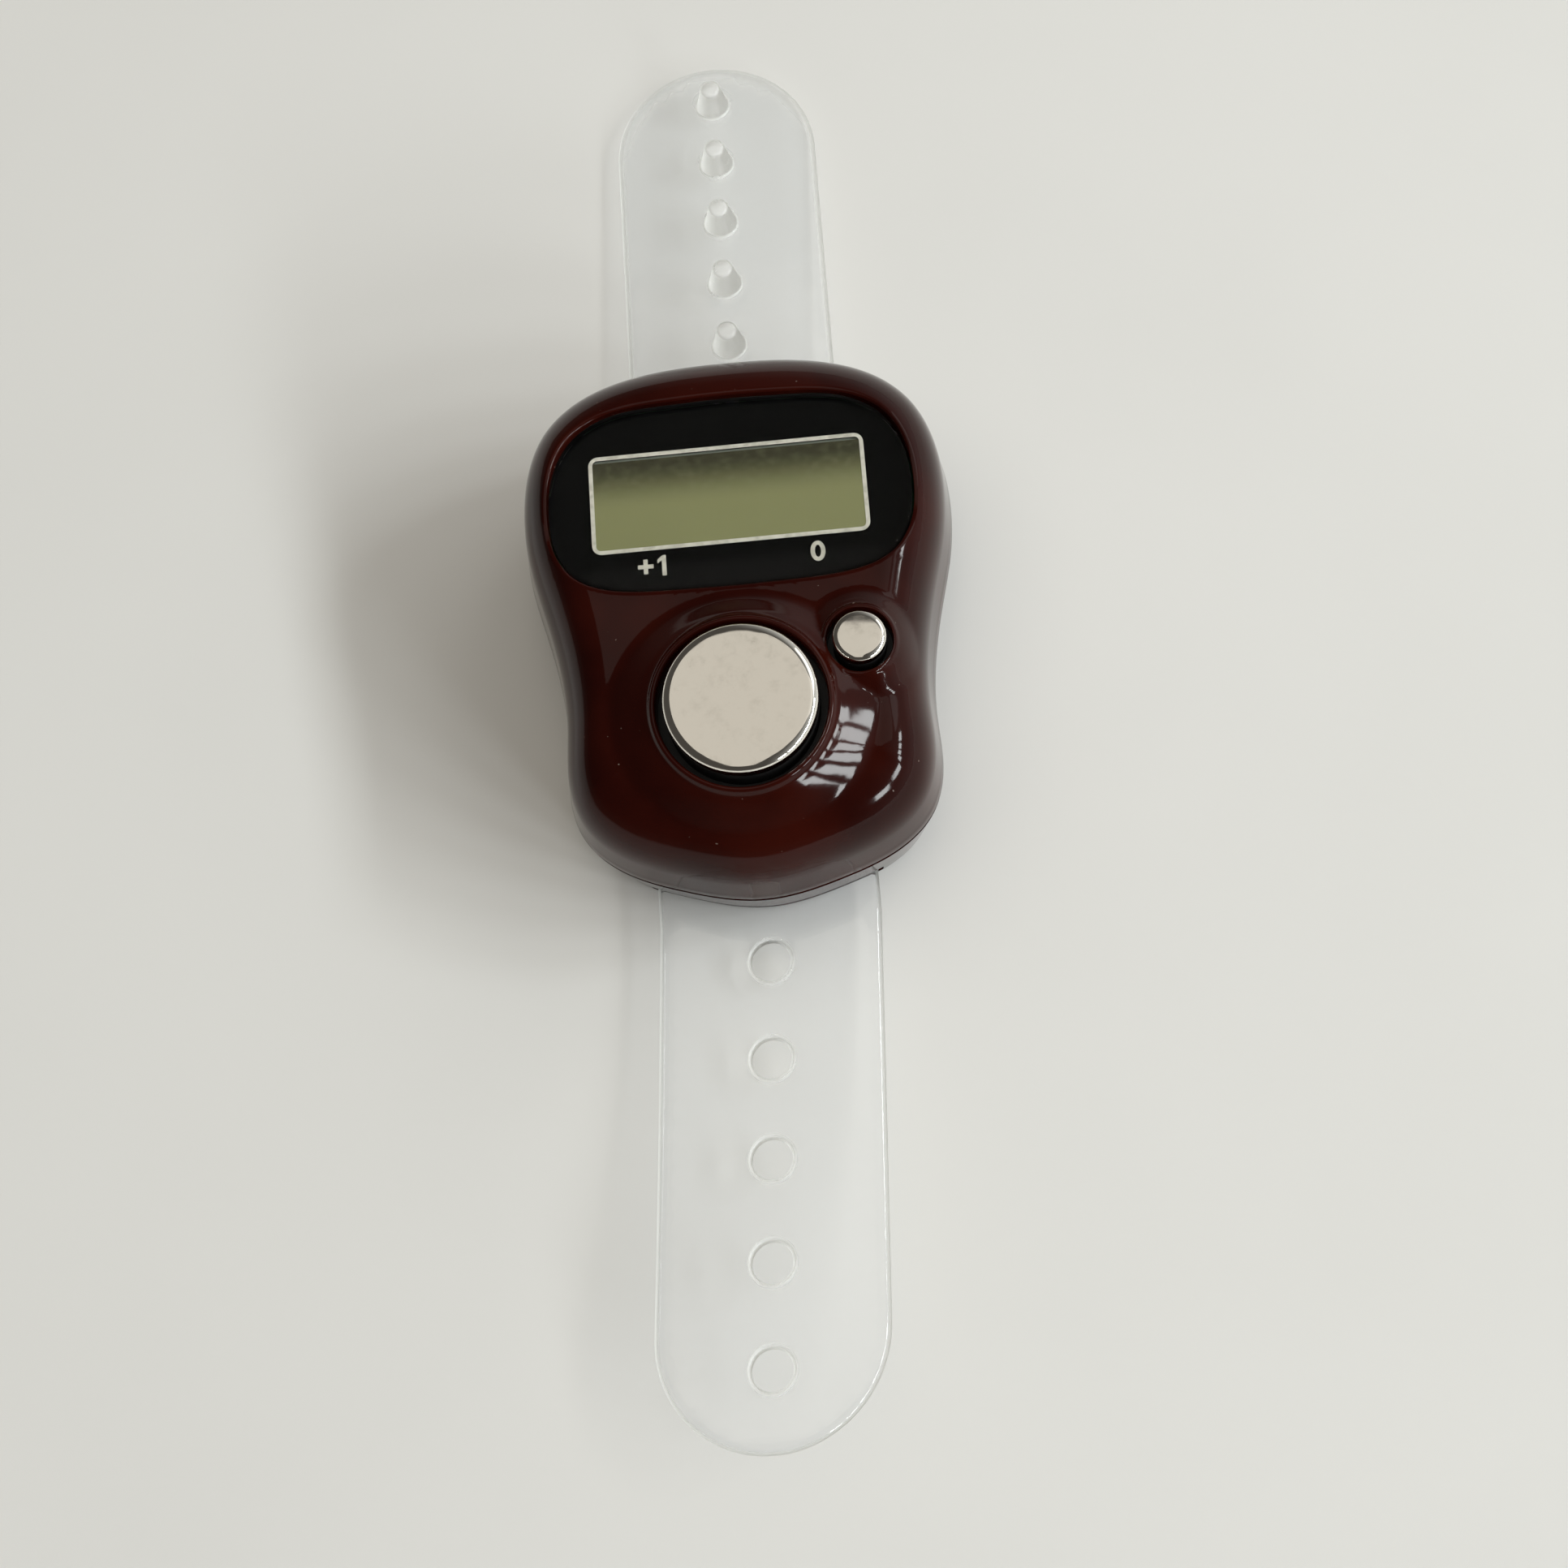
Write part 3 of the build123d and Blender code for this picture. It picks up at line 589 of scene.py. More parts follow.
def spline_points(points: Sequence[Pair], start: Pair, end: Pair, count: int) -> np.ndarray:
    """Evenly spaced points on a cubic spline with set end directions.

    Args:
        points: places that the spline passes.
        start: unit direction at the first place.
        end: unit direction at the last place.
        count: number of spans.

    Returns:
        count + 1 points.
    """
    knots = np.array(points, float)
    gaps = np.linalg.norm(np.diff(knots, axis=0), axis=1)
    size = len(knots)
    system = np.eye(size)
    wanted = np.zeros((size, 2))
    wanted[0], wanted[-1] = start, end
    for i in range(1, size - 1):
        before, after = gaps[i - 1], gaps[i]
        system[i, i - 1:i + 2] = 1 / before, 2 / before + 2 / after, 1 / after
        wanted[i] = 3 * (knots[i] - knots[i - 1]) / before**2 + 3 * (knots[i + 1] - knots[i]) / after**2
    slopes = np.linalg.solve(system, wanted)
    fine = []
    for i, gap in enumerate(gaps):
        t = np.linspace(0, 1, 64, endpoint=i == size - 2)[:, None]
        fine.append(
            (2 * t**3 - 3 * t**2 + 1) * knots[i] + (t**3 - 2 * t**2 + t) * gap * slopes[i]
            + (3 * t**2 - 2 * t**3) * knots[i + 1] + (t**3 - t**2) * gap * slopes[i + 1]
        )
    line = np.concatenate(fine)
    reach = np.concatenate([[0], np.cumsum(np.linalg.norm(np.diff(line, axis=0), axis=1))])
    even = np.linspace(0, reach[-1], count + 1)
    return np.stack([np.interp(even, reach, line[:, k]) for k in (0, 1)], axis=1)


def smooth_line(points: Sequence[Pair]) -> Callable[[np.ndarray], np.ndarray]:
    """Smooth function through points that never swings past them.

    Args:
        points: argument and result pairs, arguments rising.

    Returns:
        A function of an array.
    """
    x, y = np.array(points, float).T
    step = np.diff(x)
    rise = np.diff(y) / step
    slope = np.zeros(len(x))
    slope[0], slope[-1] = rise[0], rise[-1]
    for i in range(1, len(x) - 1):
        if rise[i - 1] * rise[i] > 0:
            a, b = 2 * step[i] + step[i - 1], step[i] + 2 * step[i - 1]
            slope[i] = (a + b) / (a / rise[i - 1] + b / rise[i])

    def at(wanted: np.ndarray) -> np.ndarray:
        """Result at each argument.

        Args:
            wanted: arguments, held within the line's ends.

        Returns:
            The line's value at each.
        """
        w = np.clip(np.asarray(wanted, float), x[0], x[-1])
        i = np.clip(np.searchsorted(x, w) - 1, 0, len(step) - 1)
        t = (w - x[i]) / step[i]
        return (
            (2 * t**3 - 3 * t**2 + 1) * y[i] + (t**3 - 2 * t**2 + t) * step[i] * slope[i]
            + (3 * t**2 - 2 * t**3) * y[i + 1] + (t**3 - t**2) * step[i] * slope[i + 1]
        )

    return at


def circle(centre: Pair, radius: float, count: int) -> np.ndarray:
    """Points round a circle."""
    turn = np.linspace(0, 2 * math.pi, count, endpoint=False)
    return np.stack([centre[0] + radius * np.cos(turn), centre[1] + radius * np.sin(turn)], axis=1)


def moved_in(loop: np.ndarray, inset: float) -> np.ndarray:
    """Closed loop that runs anticlockwise, moved inwards along its normals.

    Args:
        loop: points round the loop.
        inset: distance inwards, negative to grow.

    Returns:
        The moved points.
    """
    along = np.roll(loop, -1, axis=0) - np.roll(loop, 1, axis=0)
    along /= np.linalg.norm(along, axis=1)[:, None]
    return loop + inset * np.stack([-along[:, 1], along[:, 0]], axis=1)


def inside(points: np.ndarray, loops: Sequence[np.ndarray]) -> np.ndarray:
    """Which points lie inside the first loop and outside the others, by counting crossings.

    Args:
        points: places to test.
        loops: closed loops.

    Returns:
        True for each point inside.
    """
    odd = np.zeros(len(points), bool)
    x, y = points[:, 0], points[:, 1]
    for loop in loops:
        for (ax, ay), (bx, by) in zip(loop, np.roll(loop, -1, axis=0)):
            if ay == by:
                continue
            odd ^= ((ay > y) != (by > y)) & (x < ax + (y - ay) * (bx - ax) / (by - ay))
    return odd


def honeycomb(loop: np.ndarray, pitch: float) -> np.ndarray:
    """Points in a honeycomb over a loop's box.

    Args:
        loop: plan points of the loop.
        pitch: distance between neighbours.

    Returns:
        Plan points, inside the loop and out.
    """
    low, high = loop.min(axis=0), loop.max(axis=0)
    rows = np.arange(low[1], high[1], pitch * math.sqrt(3) / 2)
    found = []
    for index, y in enumerate(rows):
        xs = np.arange(low[0] + (index % 2) * pitch / 2, high[0], pitch)
        found.append(np.stack([xs, np.full(len(xs), y)], axis=1))
    return np.concatenate(found)


def spread(loops: Sequence[np.ndarray], batches: Sequence[tuple[np.ndarray, float]]) -> np.ndarray:
    """Inner points for a fill, earlier batches first, each kept clear of what is already there.

    Args:
        loops: outer loop and holes.
        batches: points and the room that each needs.

    Returns:
        The points that were kept.
    """
    kept = [np.concatenate(loops)]
    for points, room in batches:
        points = points[inside(points, loops)]
        taken = np.concatenate(kept)
        tree = KDTree(len(taken))
        for index, (x, y) in enumerate(taken):
            tree.insert((x, y, 0.0), index)
        tree.balance()
        clear = [p for p in points if tree.find((p[0], p[1], 0.0))[2] > room]
        if clear:
            kept.append(np.array(clear))
    return np.concatenate(kept[1:]) if len(kept) > 1 else NO_POINTS


def level(height: float) -> Placer:
    """Gives the function that sets plan points at one height."""
    return lambda plan: np.column_stack([plan, np.full(len(plan), height)])


def place_object(name: str, data: bpy.types.ID) -> bpy.types.Object:
    """Adds an object at the origin of the scene."""
    obj = bpy.data.objects.new(name, data)
    bpy.context.scene.collection.objects.link(obj)
    return obj


def evaluated_mesh(obj: bpy.types.Object) -> bpy.types.Mesh:
    """Plain mesh of an object with its modifiers worked out."""
    bpy.context.view_layer.update()
    return bpy.data.meshes.new_from_object(obj.evaluated_get(bpy.context.evaluated_depsgraph_get()))


def shade_smooth(mesh: bpy.types.Mesh, sharp_deg: float) -> None:
    """Shades a mesh smooth, but for edges that turn more than an angle."""
    mesh.polygons.foreach_set("use_smooth", [True] * len(mesh.polygons))
    mesh.set_sharp_from_angle(angle=math.radians(sharp_deg))


class Skin:
    """Points and faces of one closed mesh, in millimetres until it becomes an object."""

    def __init__(self) -> None:
        """Starts empty."""
        self.points: list[np.ndarray] = []
        self.faces: list[tuple[int, ...]] = []
        self.count = 0

    def add(self, points: np.ndarray) -> list[int]:
        """Adds points and gives their numbers."""
        self.points.append(np.asarray(points, float))
        first = self.count
        self.count += len(points)
        return list(range(first, self.count))

    def ring(self, plan: np.ndarray, height: Union[float, np.ndarray]) -> list[int]:
        """Adds a ring of plan points at a height or heights."""
        return self.add(np.column_stack([plan, np.broadcast_to(height, len(plan))]))

    def strip(self, first: list[int], second: list[int]) -> None:
        """Joins two rings of the same length with quads."""
        for i in range(len(first)):
            j = (i + 1) % len(first)
            self.faces.append((first[i], first[j], second[j], second[i]))

    def strips(self, rings: Sequence[list[int]]) -> None:
        """Joins each ring to the next."""
        for first, second in zip(rings, rings[1:]):
            self.strip(first, second)

    def fan(self, ring: list[int], point: Sequence[float]) -> None:
        """Closes a ring to one point."""
        tip = self.add(np.array([point]))[0]
        for i in range(len(ring)):
            self.faces.append((ring[i], ring[(i + 1) % len(ring)], tip))

    def fill(self, rings: Sequence[list[int]], loops: Sequence[np.ndarray], inner: np.ndarray, place: Placer) -> None:
        """Fills between an outer ring and holes with triangles.

        Args:
            rings: numbers of the points round each loop, the outer one first.
            loops: plan points of the same loops.
            inner: plan points between them.
            place: gives the 3-D places of the inner points.
        """
        numbers = [n for ring in rings for n in ring]
        if len(inner):
            numbers += self.add(place(inner))
        plan = np.concatenate([*loops, inner])
        edges, first = [], 0
        for loop in loops:
            size = len(loop)
            edges += [(first + i, first + (i + 1) % size) for i in range(size)]
            first += size
        made = delaunay_2d_cdt([Vector(p) for p in plan], edges, [], 0, 1e-7)
        corners, faces, origin = made[0], made[2], made[3]
        middles = np.array([np.mean([corners[i] for i in face], axis=0) for face in faces])
        for face, keep in zip(faces, inside(middles, loops)):
            if keep:
                self.faces.append(tuple(numbers[origin[i][0]] for i in face))

    def piece(self, name: str, finish: Finish, sharp_deg: float = 40.0) -> bpy.types.Object:
        """Turns the skin into an object with outward faces.

        Args:
            name: name of the piece.
            finish: its finish.
            sharp_deg: edges with a sharper turn are shaded sharp.

        Returns:
            The new object, at the origin.
        """
        mesh = bpy.data.meshes.new(name)
        mesh.from_pydata((np.concatenate(self.points) * MM).tolist(), [], self.faces)
        work = bmesh.new()
        work.from_mesh(mesh)
        bmesh.ops.recalc_face_normals(work, faces=work.faces)
        open_edges = sum(not edge.is_manifold for edge in work.edges)
        work.to_mesh(mesh)
        work.free()
        mesh.materials.append(finish.material())
        shade_smooth(mesh, sharp_deg)
        log.info("%s: %d faces, %d open edges", name, len(mesh.polygons), open_edges)
        return place_object(name, mesh)


def turned(skin: Skin, centre: Pair, profile: Sequence[Pair], segments: int) -> None:
    """Adds a solid of revolution about an upright axis.

    Args:
        skin: skin to add to.
        centre: plan place of the axis.
        profile: radius and height pairs; it starts and ends on the axis.
        segments: steps round the axis.
    """
    rings = [skin.ring(circle(centre, radius, segments), height) for radius, height in profile[1:-1]]
    skin.fan(rings[0], (*centre, profile[0][1]))
    skin.strips(rings)
    skin.fan(rings[-1], (*centre, profile[-1][1]))


def block(half: Pair, centre: Pair, low: float, high: float) -> Skin:
    """Upright box.

    Args:
        half: half its width and length.
        centre: plan place of its middle.
        low: height of its underside.
        high: height of its top.

    Returns:
        The skin of the box.
    """
    skin = Skin()
    plan = np.array([(-1, -1), (1, -1), (1, 1), (-1, 1)]) * half + centre
    bottom, top = skin.ring(plan, low), skin.ring(plan, high)
    skin.strip(bottom, top)
    skin.faces += [tuple(bottom), tuple(top)]
    return skin


def rounded(corner: Pair, start: Pair, end: Pair, steps: int) -> list[Pair]:
    """Points of a soft quarter turn from start to end with its outside at a corner.

    Args:
        corner: where the two straight lines would meet.
        start: first point of the turn.
        end: last point of the turn.
        steps: number of steps.

    Returns:
        The points, with both ends.
    """
    found = []
    for i in range(steps + 1):
        t = math.pi / 2 * i / steps
        s, e = 1 - math.sin(t), 1 - math.cos(t)
        found.append((
            corner[0] + (start[0] - corner[0]) * s + (end[0] - corner[0]) * e,
            corner[1] + (start[1] - corner[1]) * s + (end[1] - corner[1]) * e,
        ))
    return found


def dress(obj: bpy.types.Object, body: Body, slot: Optional[Slot], *nodes: str) -> bpy.types.Object:
    """Makes a finished piece ride on a body and stand for CAD nodes.

    Args:
        obj: finished piece.
        body: body that it moves with.
        slot: not used.
        nodes: CAD nodes that it stands for.

    Returns:
        The piece.
    """
    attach(obj, body.value)
    if nodes:
        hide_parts(*nodes)
    return obj


# Sub-assemblies


@dataclass
class Outline:
    """Closed outline that is the same left and right, from shares of its right half."""

    shares: list[Pair]
    half_x: float
    half_y: float
    centre: Pair
    steps: int

    def loop(self, inset: float = 0.0) -> np.ndarray:
        """Points round the outline, anticlockwise from its lowest point, moved inwards.

        Args:
            inset: how far inwards.

        Returns:
            Plan points of the closed loop.
        """
        right = spline_points(
            [(x * self.half_x, y * self.half_y) for x, y in self.shares], (1, 0), (-1, 0), self.steps
        )
        left = right[1:-1] * (-1, 1)
        whole = np.concatenate([right[::-1], left])
        return moved_in(whole + self.centre, inset)


@dataclass
class Mound:
    """Raised collar round a button, as a turned profile over the face."""

    centre: Pair
    hole_r: float
    guide_r: float
    guide_top_z: float
    lip_w: float
    lip_h: float
    slope_w: float
    segments: int
    spread: float = 0.0
    lip_step: float = 0.06
    slope_step: float = 0.17
    lift: Callable[[np.ndarray], np.ndarray] = field(init=False)

    def __post_init__(self) -> None:
        """Draws the profile: rolled lip, hollow slope and a tight foot."""
        h, w, r, s = self.lip_h, self.lip_w, self.hole_r, self.slope_w
        self.lift = smooth_line([
            (r, h * 0.80), (r + w * 0.07, h * 0.91), (r + w * 0.22, h * 0.98), (r + w * 0.42, h),
            (r + w * 0.66, h * 0.975), (r + w * 0.88, h * 0.905), (r + w, h * 0.84), (r + w + s * 0.25, h * 0.615),
            (r + w + s * 0.50, h * 0.395), (r + w + s * 0.75, h * 0.185), (r + w + s * 0.90, h * 0.07),
            (r + w + s * 1.0, h * 0.018), (r + w + s * 1.12, 0.0),
        ])

    def reach(self) -> float:
        """Largest radius where the mound ends."""
        return self.hole_r + self.lip_w + self.slope_w * 1.12 * (1 + self.spread)

    def height(self, plan: np.ndarray) -> np.ndarray:
        """Height above the face at plan points; the slope reaches further out to the left and right.

        Args:
            plan: plan points.

        Returns:
            A height for each.
        """
        across, along = (plan - self.centre).T
        radius = np.hypot(across, along)
        lip = self.hole_r + self.lip_w
        stretch = 1 + self.spread * (across / np.maximum(radius, 1e-6)) ** 2
        return self.lift(np.where(radius > lip, lip + (radius - lip) / stretch, radius))

    def rings(self) -> list[tuple[np.ndarray, float]]:
        """Rings of fill points over the lip and slope, with the room that each needs.

        Returns:
            Pairs of ring points and room.
        """
        found = []
        radius = self.hole_r
        while radius < self.reach() + 0.3:
            step = self.lip_step if radius < self.hole_r + self.lip_w * 1.25 else self.slope_step
            radius += step
            found.append((circle(self.centre, radius, self.segments), step * 0.55))
        return found


@dataclass
class Casing:
    """Two glossy shells with a window recess, two mounds, a finger saddle and the strap's slot."""

    centre_y: float
    half_w: float = 13.5
    half_l: float = 17.25
    seam_z: float = 6.0
    face_z: float = 13.4
    ceiling_z: float = 12.0
    floor_z: float = 4.2
    wall: float = 1.2
    ceiling_inset: float = 0.4
    ceiling_slope_h: float = 1.6
    side_draft_deg: float = 7.0
    end_draft_deg: float = 5.0
    rear_draft_deg: float = 8.0
    edge_side: float = 2.55
    edge_end: float = 5.0
    edge_side_down: float = 4.0
    edge_end_down: float = 4.7
    edge_power: float = 2.15
    seam_round: float = 0.16
    seam_gap: float = 0.11
    seam_step: float = 0.35
    fill_inset: float = 1.5
    rear_round: float = 0.6
    saddle_rise: float = 3.0
    foot_l: float = 4.2
    slot_w: float = 14.4
    slot_low_z: float = 0.85
    slot_high_z: float = 2.1
    head_seat_z: float = 3.2
    head_hole_r: float = 1.3
    shank_hole_r: float = 0.85
    count_y_share: float = -0.452
    reset_bearing_deg: float = 25.9
    reset_reach: float = 7.78
    lens_half: Pair = (10.9, 6.1)
    lens_y_share: float = 0.365
    lens_gap: float = 0.12
    lens_recess: float = 0.42
    rim_round: float = 0.22
    shares: list[Pair] = field(default_factory=lambda: [
        (0, 0.969), (0.394, 0.948), (0.695, 0.866), (0.88, 0.732), (0.962, 0.585), (0.99, 0.416), (0.972, 0.226),
        (0.907, 0.012), (0.852, -0.199), (0.835, -0.398), (0.840, -0.577), (0.785, -0.733), (0.644, -0.847),
        (0.356, -0.946), (0, -1),
    ])
    lens_shares: list[Pair] = field(default_factory=lambda: [
        (0, 1), (0.34, 0.985), (0.642, 0.921), (0.853, 0.705), (0.972, 0.328), (1, -0.1), (0.959, -0.525),
        (0.826, -0.828), (0.606, -0.96), (0.303, -0.992), (0, -1),
    ])
    screw_shares: list[Pair] = field(default_factory=lambda: [
        (0.755, 0.672), (-0.755, 0.672), (0.675, -0.533), (-0.675, -0.533),
    ])
    board_shares: list[Pair] = field(default_factory=lambda: [(0, 0.812), (0.64, -0.052), (-0.64, -0.052)])

    def __post_init__(self) -> None:
        """Works out outlines and mounds from the sizes."""
        self.outline = Outline(self.shares, self.half_w, self.half_l, (0, self.centre_y), 220)
        self.lens_centre = (0.0, self.centre_y + self.lens_y_share * self.half_l)
        self.lens_outline = Outline(self.lens_shares, *self.lens_half, self.lens_centre, 130)
        count_at = (0.0, self.centre_y + self.count_y_share * self.half_l)
        turn = math.radians(self.reset_bearing_deg)
        reset_at = (self.reset_reach * math.cos(turn), count_at[1] + self.reset_reach * math.sin(turn))
        self.count = Mound(
            count_at, hole_r=4.95, guide_r=5.2, guide_top_z=13.55, lip_w=0.45, lip_h=1.6, slope_w=1.75, segments=168,
            spread=0.42,
        )
        self.reset = Mound(
            reset_at, hole_r=1.92, guide_r=2.1, guide_top_z=13.1, lip_w=0.33, lip_h=0.9, slope_w=1.15, segments=84,
        )
        self.mounds = (self.count, self.reset)
        self.spans = np.linspace(1, 0, 320)
        fine = Outline(self.shares, self.half_w, self.half_l, (0, self.centre_y), 1600)
        self.fine_loop = fine.loop()
        self.fine_share = self.end_share(self.fine_loop)
        self.near_edge = KDTree(len(self.fine_loop))
        for index, (x, y) in enumerate(self.fine_loop):
            self.near_edge.insert((x, y, 0.0), index)
        self.near_edge.balance()

    @staticmethod
    def end_share(loop: np.ndarray) -> np.ndarray:
        """How far each point of the outline faces along the strap: 0 on the sides and 1 at the ends."""
        return (moved_in(loop, 1.0) - loop)[:, 1] ** 2

    def draft(self, share: np.ndarray) -> np.ndarray:
        """How far the front's wall leans in for each millimetre of height."""
        return np.tan(np.radians(self.side_draft_deg + (self.end_draft_deg - self.side_draft_deg) * share))

    def edge_drop(self, share: np.ndarray) -> np.ndarray:
        """Height of the rounded edge."""
        return self.edge_side_down + (self.edge_end_down - self.edge_side_down) * share

    def edge_at(self, span: np.ndarray, share: np.ndarray) -> tuple[np.ndarray, np.ndarray]:
        """Place on the rounded edge.

        Args:
            span: share of the edge's reach that is left before the face is flat.
            share: 0 on the sides and 1 at the ends.

        Returns:
            Insets from the outline at the seam, and heights.
        """
        drop = 1 - (1 - span**self.edge_power) ** (1 / self.edge_power)
        height = self.face_z - self.edge_drop(share) * drop
        width = self.edge_side + (self.edge_end - self.edge_side) * share
        return width * (1 - span) + (height - self.seam_z) * self.draft(share), height

    def lift(self, plan: np.ndarray) -> np.ndarray:
        """Height of the mounds over the face, the higher one with a soft valley between.

        Args:
            plan: plan points.

        Returns:
            A height for each.
        """
        first, second = (mound.height(plan) for mound in self.mounds)
        soft = 0.10
        near = np.clip(0.5 + 0.5 * (first - second) / soft, 0, 1)
        both = np.minimum(first, second) > 1e-6
        return np.maximum(first, second) + np.where(both, soft * near * (1 - near), 0) * 0.5

    def face_height(self, plan: np.ndarray) -> np.ndarray:
        """Height of the front's outer surface at plan points.

        Args:
            plan: plan points.

        Returns:
            A height for each.
        """
        heights = np.empty(len(plan))
        for row, (x, y) in enumerate(plan):
            _, index, inset = self.near_edge.find((x, y, 0.0))
            heights[row] = np.interp(inset, *self.edge_at(self.spans, self.fine_share[index]))
        return heights + self.lift(plan)

    def on_face(self, plan: np.ndarray) -> np.ndarray:
        """Plan points set on the front's outer surface."""
        return np.column_stack([plan, self.face_height(plan)])

    def front_shell(self) -> bpy.types.Object:
        """Builds the front shell with its window recess, mounds and button holes.

        Returns:
            The shell's object.
        """
        skin = Skin()
        low_z = self.seam_z + self.seam_gap
        side = [(self.seam_round, low_z)]
        side += rounded((0, low_z), (self.seam_round, low_z), (0, low_z + self.seam_round), 4)[1:]
        rings = [skin.ring(self.outline.loop(inset), z) for inset, z in side]
        loop = self.outline.loop()
        inward = moved_in(loop, 1.0) - loop
        ends = self.end_share(loop)
        start_z = self.face_z - self.edge_drop(ends)
        for share in np.linspace(0, 1, 6)[1:-1]:
            z = low_z + self.seam_round + (start_z - low_z - self.seam_round) * share
            rings.append(skin.ring(loop + inward * ((z - self.seam_z) * self.draft(ends))[:, None], z))
        last, ceiling_in = np.array([
            (np.interp(self.fill_inset, inset, self.spans), np.interp(self.ceiling_z, height, inset))
            for inset, height in (self.edge_at(self.spans, end) for end in ends)
        ]).T
        for share in np.linspace(0, 1, 34)[:-1]:
            inset, height = self.edge_at(1 + (last - 1) * share**2, ends)
            plan = loop + inward * inset[:, None]
            rings.append(skin.ring(plan, height + self.lift(plan)))
        edge = loop + inward * self.fill_inset
        rings.append(skin.add(self.on_face(edge)))
        skin.strips(rings)

        hole_rings, hole_loops, low_rings, low_loops = [], [], [], []
        lens_z = self.face_z - self.lens_recess
        rim = self.lens_outline.loop(-self.lens_gap - self.rim_round)
        rim_z = self.face_height(rim)
        window = [skin.ring(rim, rim_z)]
        for out, down in rounded((0, 0), (1, 0), (0, 1), 5)[1:]:
            depth = np.minimum(self.rim_round, np.maximum(rim_z - lens_z, 0.02) * 0.9) * down
            window.append(skin.ring(self.lens_outline.loop(-self.lens_gap - self.rim_round * out), rim_z - depth))
        foot = self.lens_outline.loop(-self.lens_gap)
        window.append(skin.ring(foot, lens_z - 0.4))
        window.append(skin.ring(foot, self.ceiling_z))
        skin.strips(window)
        hole_rings.append(window[0])
        hole_loops.append(rim)
        low_rings.append(window[-1])
        low_loops.append(foot)
        for mound in self.mounds:
            bore = circle(mound.centre, mound.hole_r, mound.segments)
            guide = circle(mound.centre, mound.guide_r, mound.segments)
            top = skin.add(self.on_face(bore))
            wall = [
                top, skin.ring(bore, mound.guide_top_z), skin.ring(guide, mound.guide_top_z),
                skin.ring(guide, self.ceiling_z),
            ]
            skin.strips(wall)
            hole_rings.append(top)
            hole_loops.append(bore)
            low_rings.append(wall[-1])
            low_loops.append(guide)
        loops = [edge, *hole_loops]
        batches = [batch for mound in self.mounds for batch in mound.rings()]
        batches += [(moved_in(rim, -grow), 0.1) for grow in (0.12, 0.28, 0.5)]
        batches += [(self.outline.loop(self.fill_inset + 0.2 * step), 0.12) for step in range(1, 24)]
        batches.append((honeycomb(edge, 0.42), 0.24))
        skin.fill([rings[-1], *hole_rings], loops, spread(loops, batches), self.on_face)

        inner = self.outline.loop(self.wall)
        top_in = loop + inward * (ceiling_in + self.ceiling_inset)[:, None]
        inside_rings = [
            rings[0], skin.ring(inner, low_z), skin.ring(inner, self.ceiling_z - self.ceiling_slope_h),
            skin.ring(top_in, self.ceiling_z),
        ]
        skin.strips(inside_rings)
        skin.fill([inside_rings[-1], *low_rings], [top_in, *low_loops], NO_POINTS, level(self.ceiling_z))
        return dress(skin.piece("front_cover", CASING_GLOSS), Body.CASING, Slot.CASING, "front_shell")

    def saddle_z(self, plan: np.ndarray) -> np.ndarray:
        """Height of the underside, hollowed across for a finger.

        Args:
            plan: plan points.

        Returns:
            A height for each.
        """
        half = self.half_l - self.foot_l
        radius = (half**2 + self.saddle_rise**2) / (2 * self.saddle_rise)
        along = plan[:, 1] - self.centre_y
        arch = np.sqrt(np.maximum(radius**2 - along**2, 0)) - radius + self.saddle_rise
        return np.maximum(arch, 0)

    def rear_shell(self) -> bpy.types.Object:
        """Builds the rear shell, cut for the strap's slot and the screw heads.

        Returns:
            The shell's object.
        """
        skin = Skin()
        draft = math.tan(math.radians(self.rear_draft_deg))
        high_z = self.seam_z - self.seam_gap
        edge = self.outline.loop(draft * self.seam_z + self.rear_round)
        low = self.saddle_z(edge)
        rings = [skin.ring(edge, low)]
        for out, up in rounded((0, 0), (1, 0), (0, 1), 5)[1:]:
            z = low + self.rear_round * up
            loop = self.drafted(z, draft, self.rear_round * out)
            rings.append(skin.ring(loop, z))
        start = low + self.rear_round
        for share in (0.25, 0.5, 0.75, 1.0):
            z = start + (high_z - self.seam_round - start) * share
            rings.append(skin.ring(self.drafted(z, draft, 0.0), z))
        rings.append(skin.ring(self.outline.loop(self.seam_step), high_z - self.seam_round))
        rings.append(skin.ring(self.outline.loop(self.seam_step), high_z))
        rings.append(skin.ring(self.outline.loop(self.wall + 1.2), high_z))
        pit = self.outline.loop(self.wall + 1.4)
        rings.append(skin.ring(pit, self.floor_z))
        skin.strips(rings)
        skin.fill([rings[-1]], [pit], spread([pit], [(honeycomb(pit, 2.0), 0.8)]), level(self.floor_z))
        near_edge = edge * 0.985 + np.array([0, self.centre_y]) * 0.015
        inner = spread([edge], [(near_edge, 0.05), (honeycomb(edge, 0.6), 0.3)])
        skin.fill([rings[0]], [edge], inner, lambda plan: np.column_stack([plan, self.saddle_z(plan)]))
        shell = skin.piece("rear_cover", CASING_GLOSS)
        self.cut(shell, self.rear_cutters())
        return dress(shell, Body.CASING, Slot.CASING, "rear_shell")

    def drafted(self, z: np.ndarray, draft: float, extra: float) -> np.ndarray:
        """Rear outline where each point has its own height."""
        loop = self.outline.loop()
        moved = moved_in(loop, 1.0) - loop
        return loop + moved * ((self.seam_z - z) * draft + extra)[:, None]

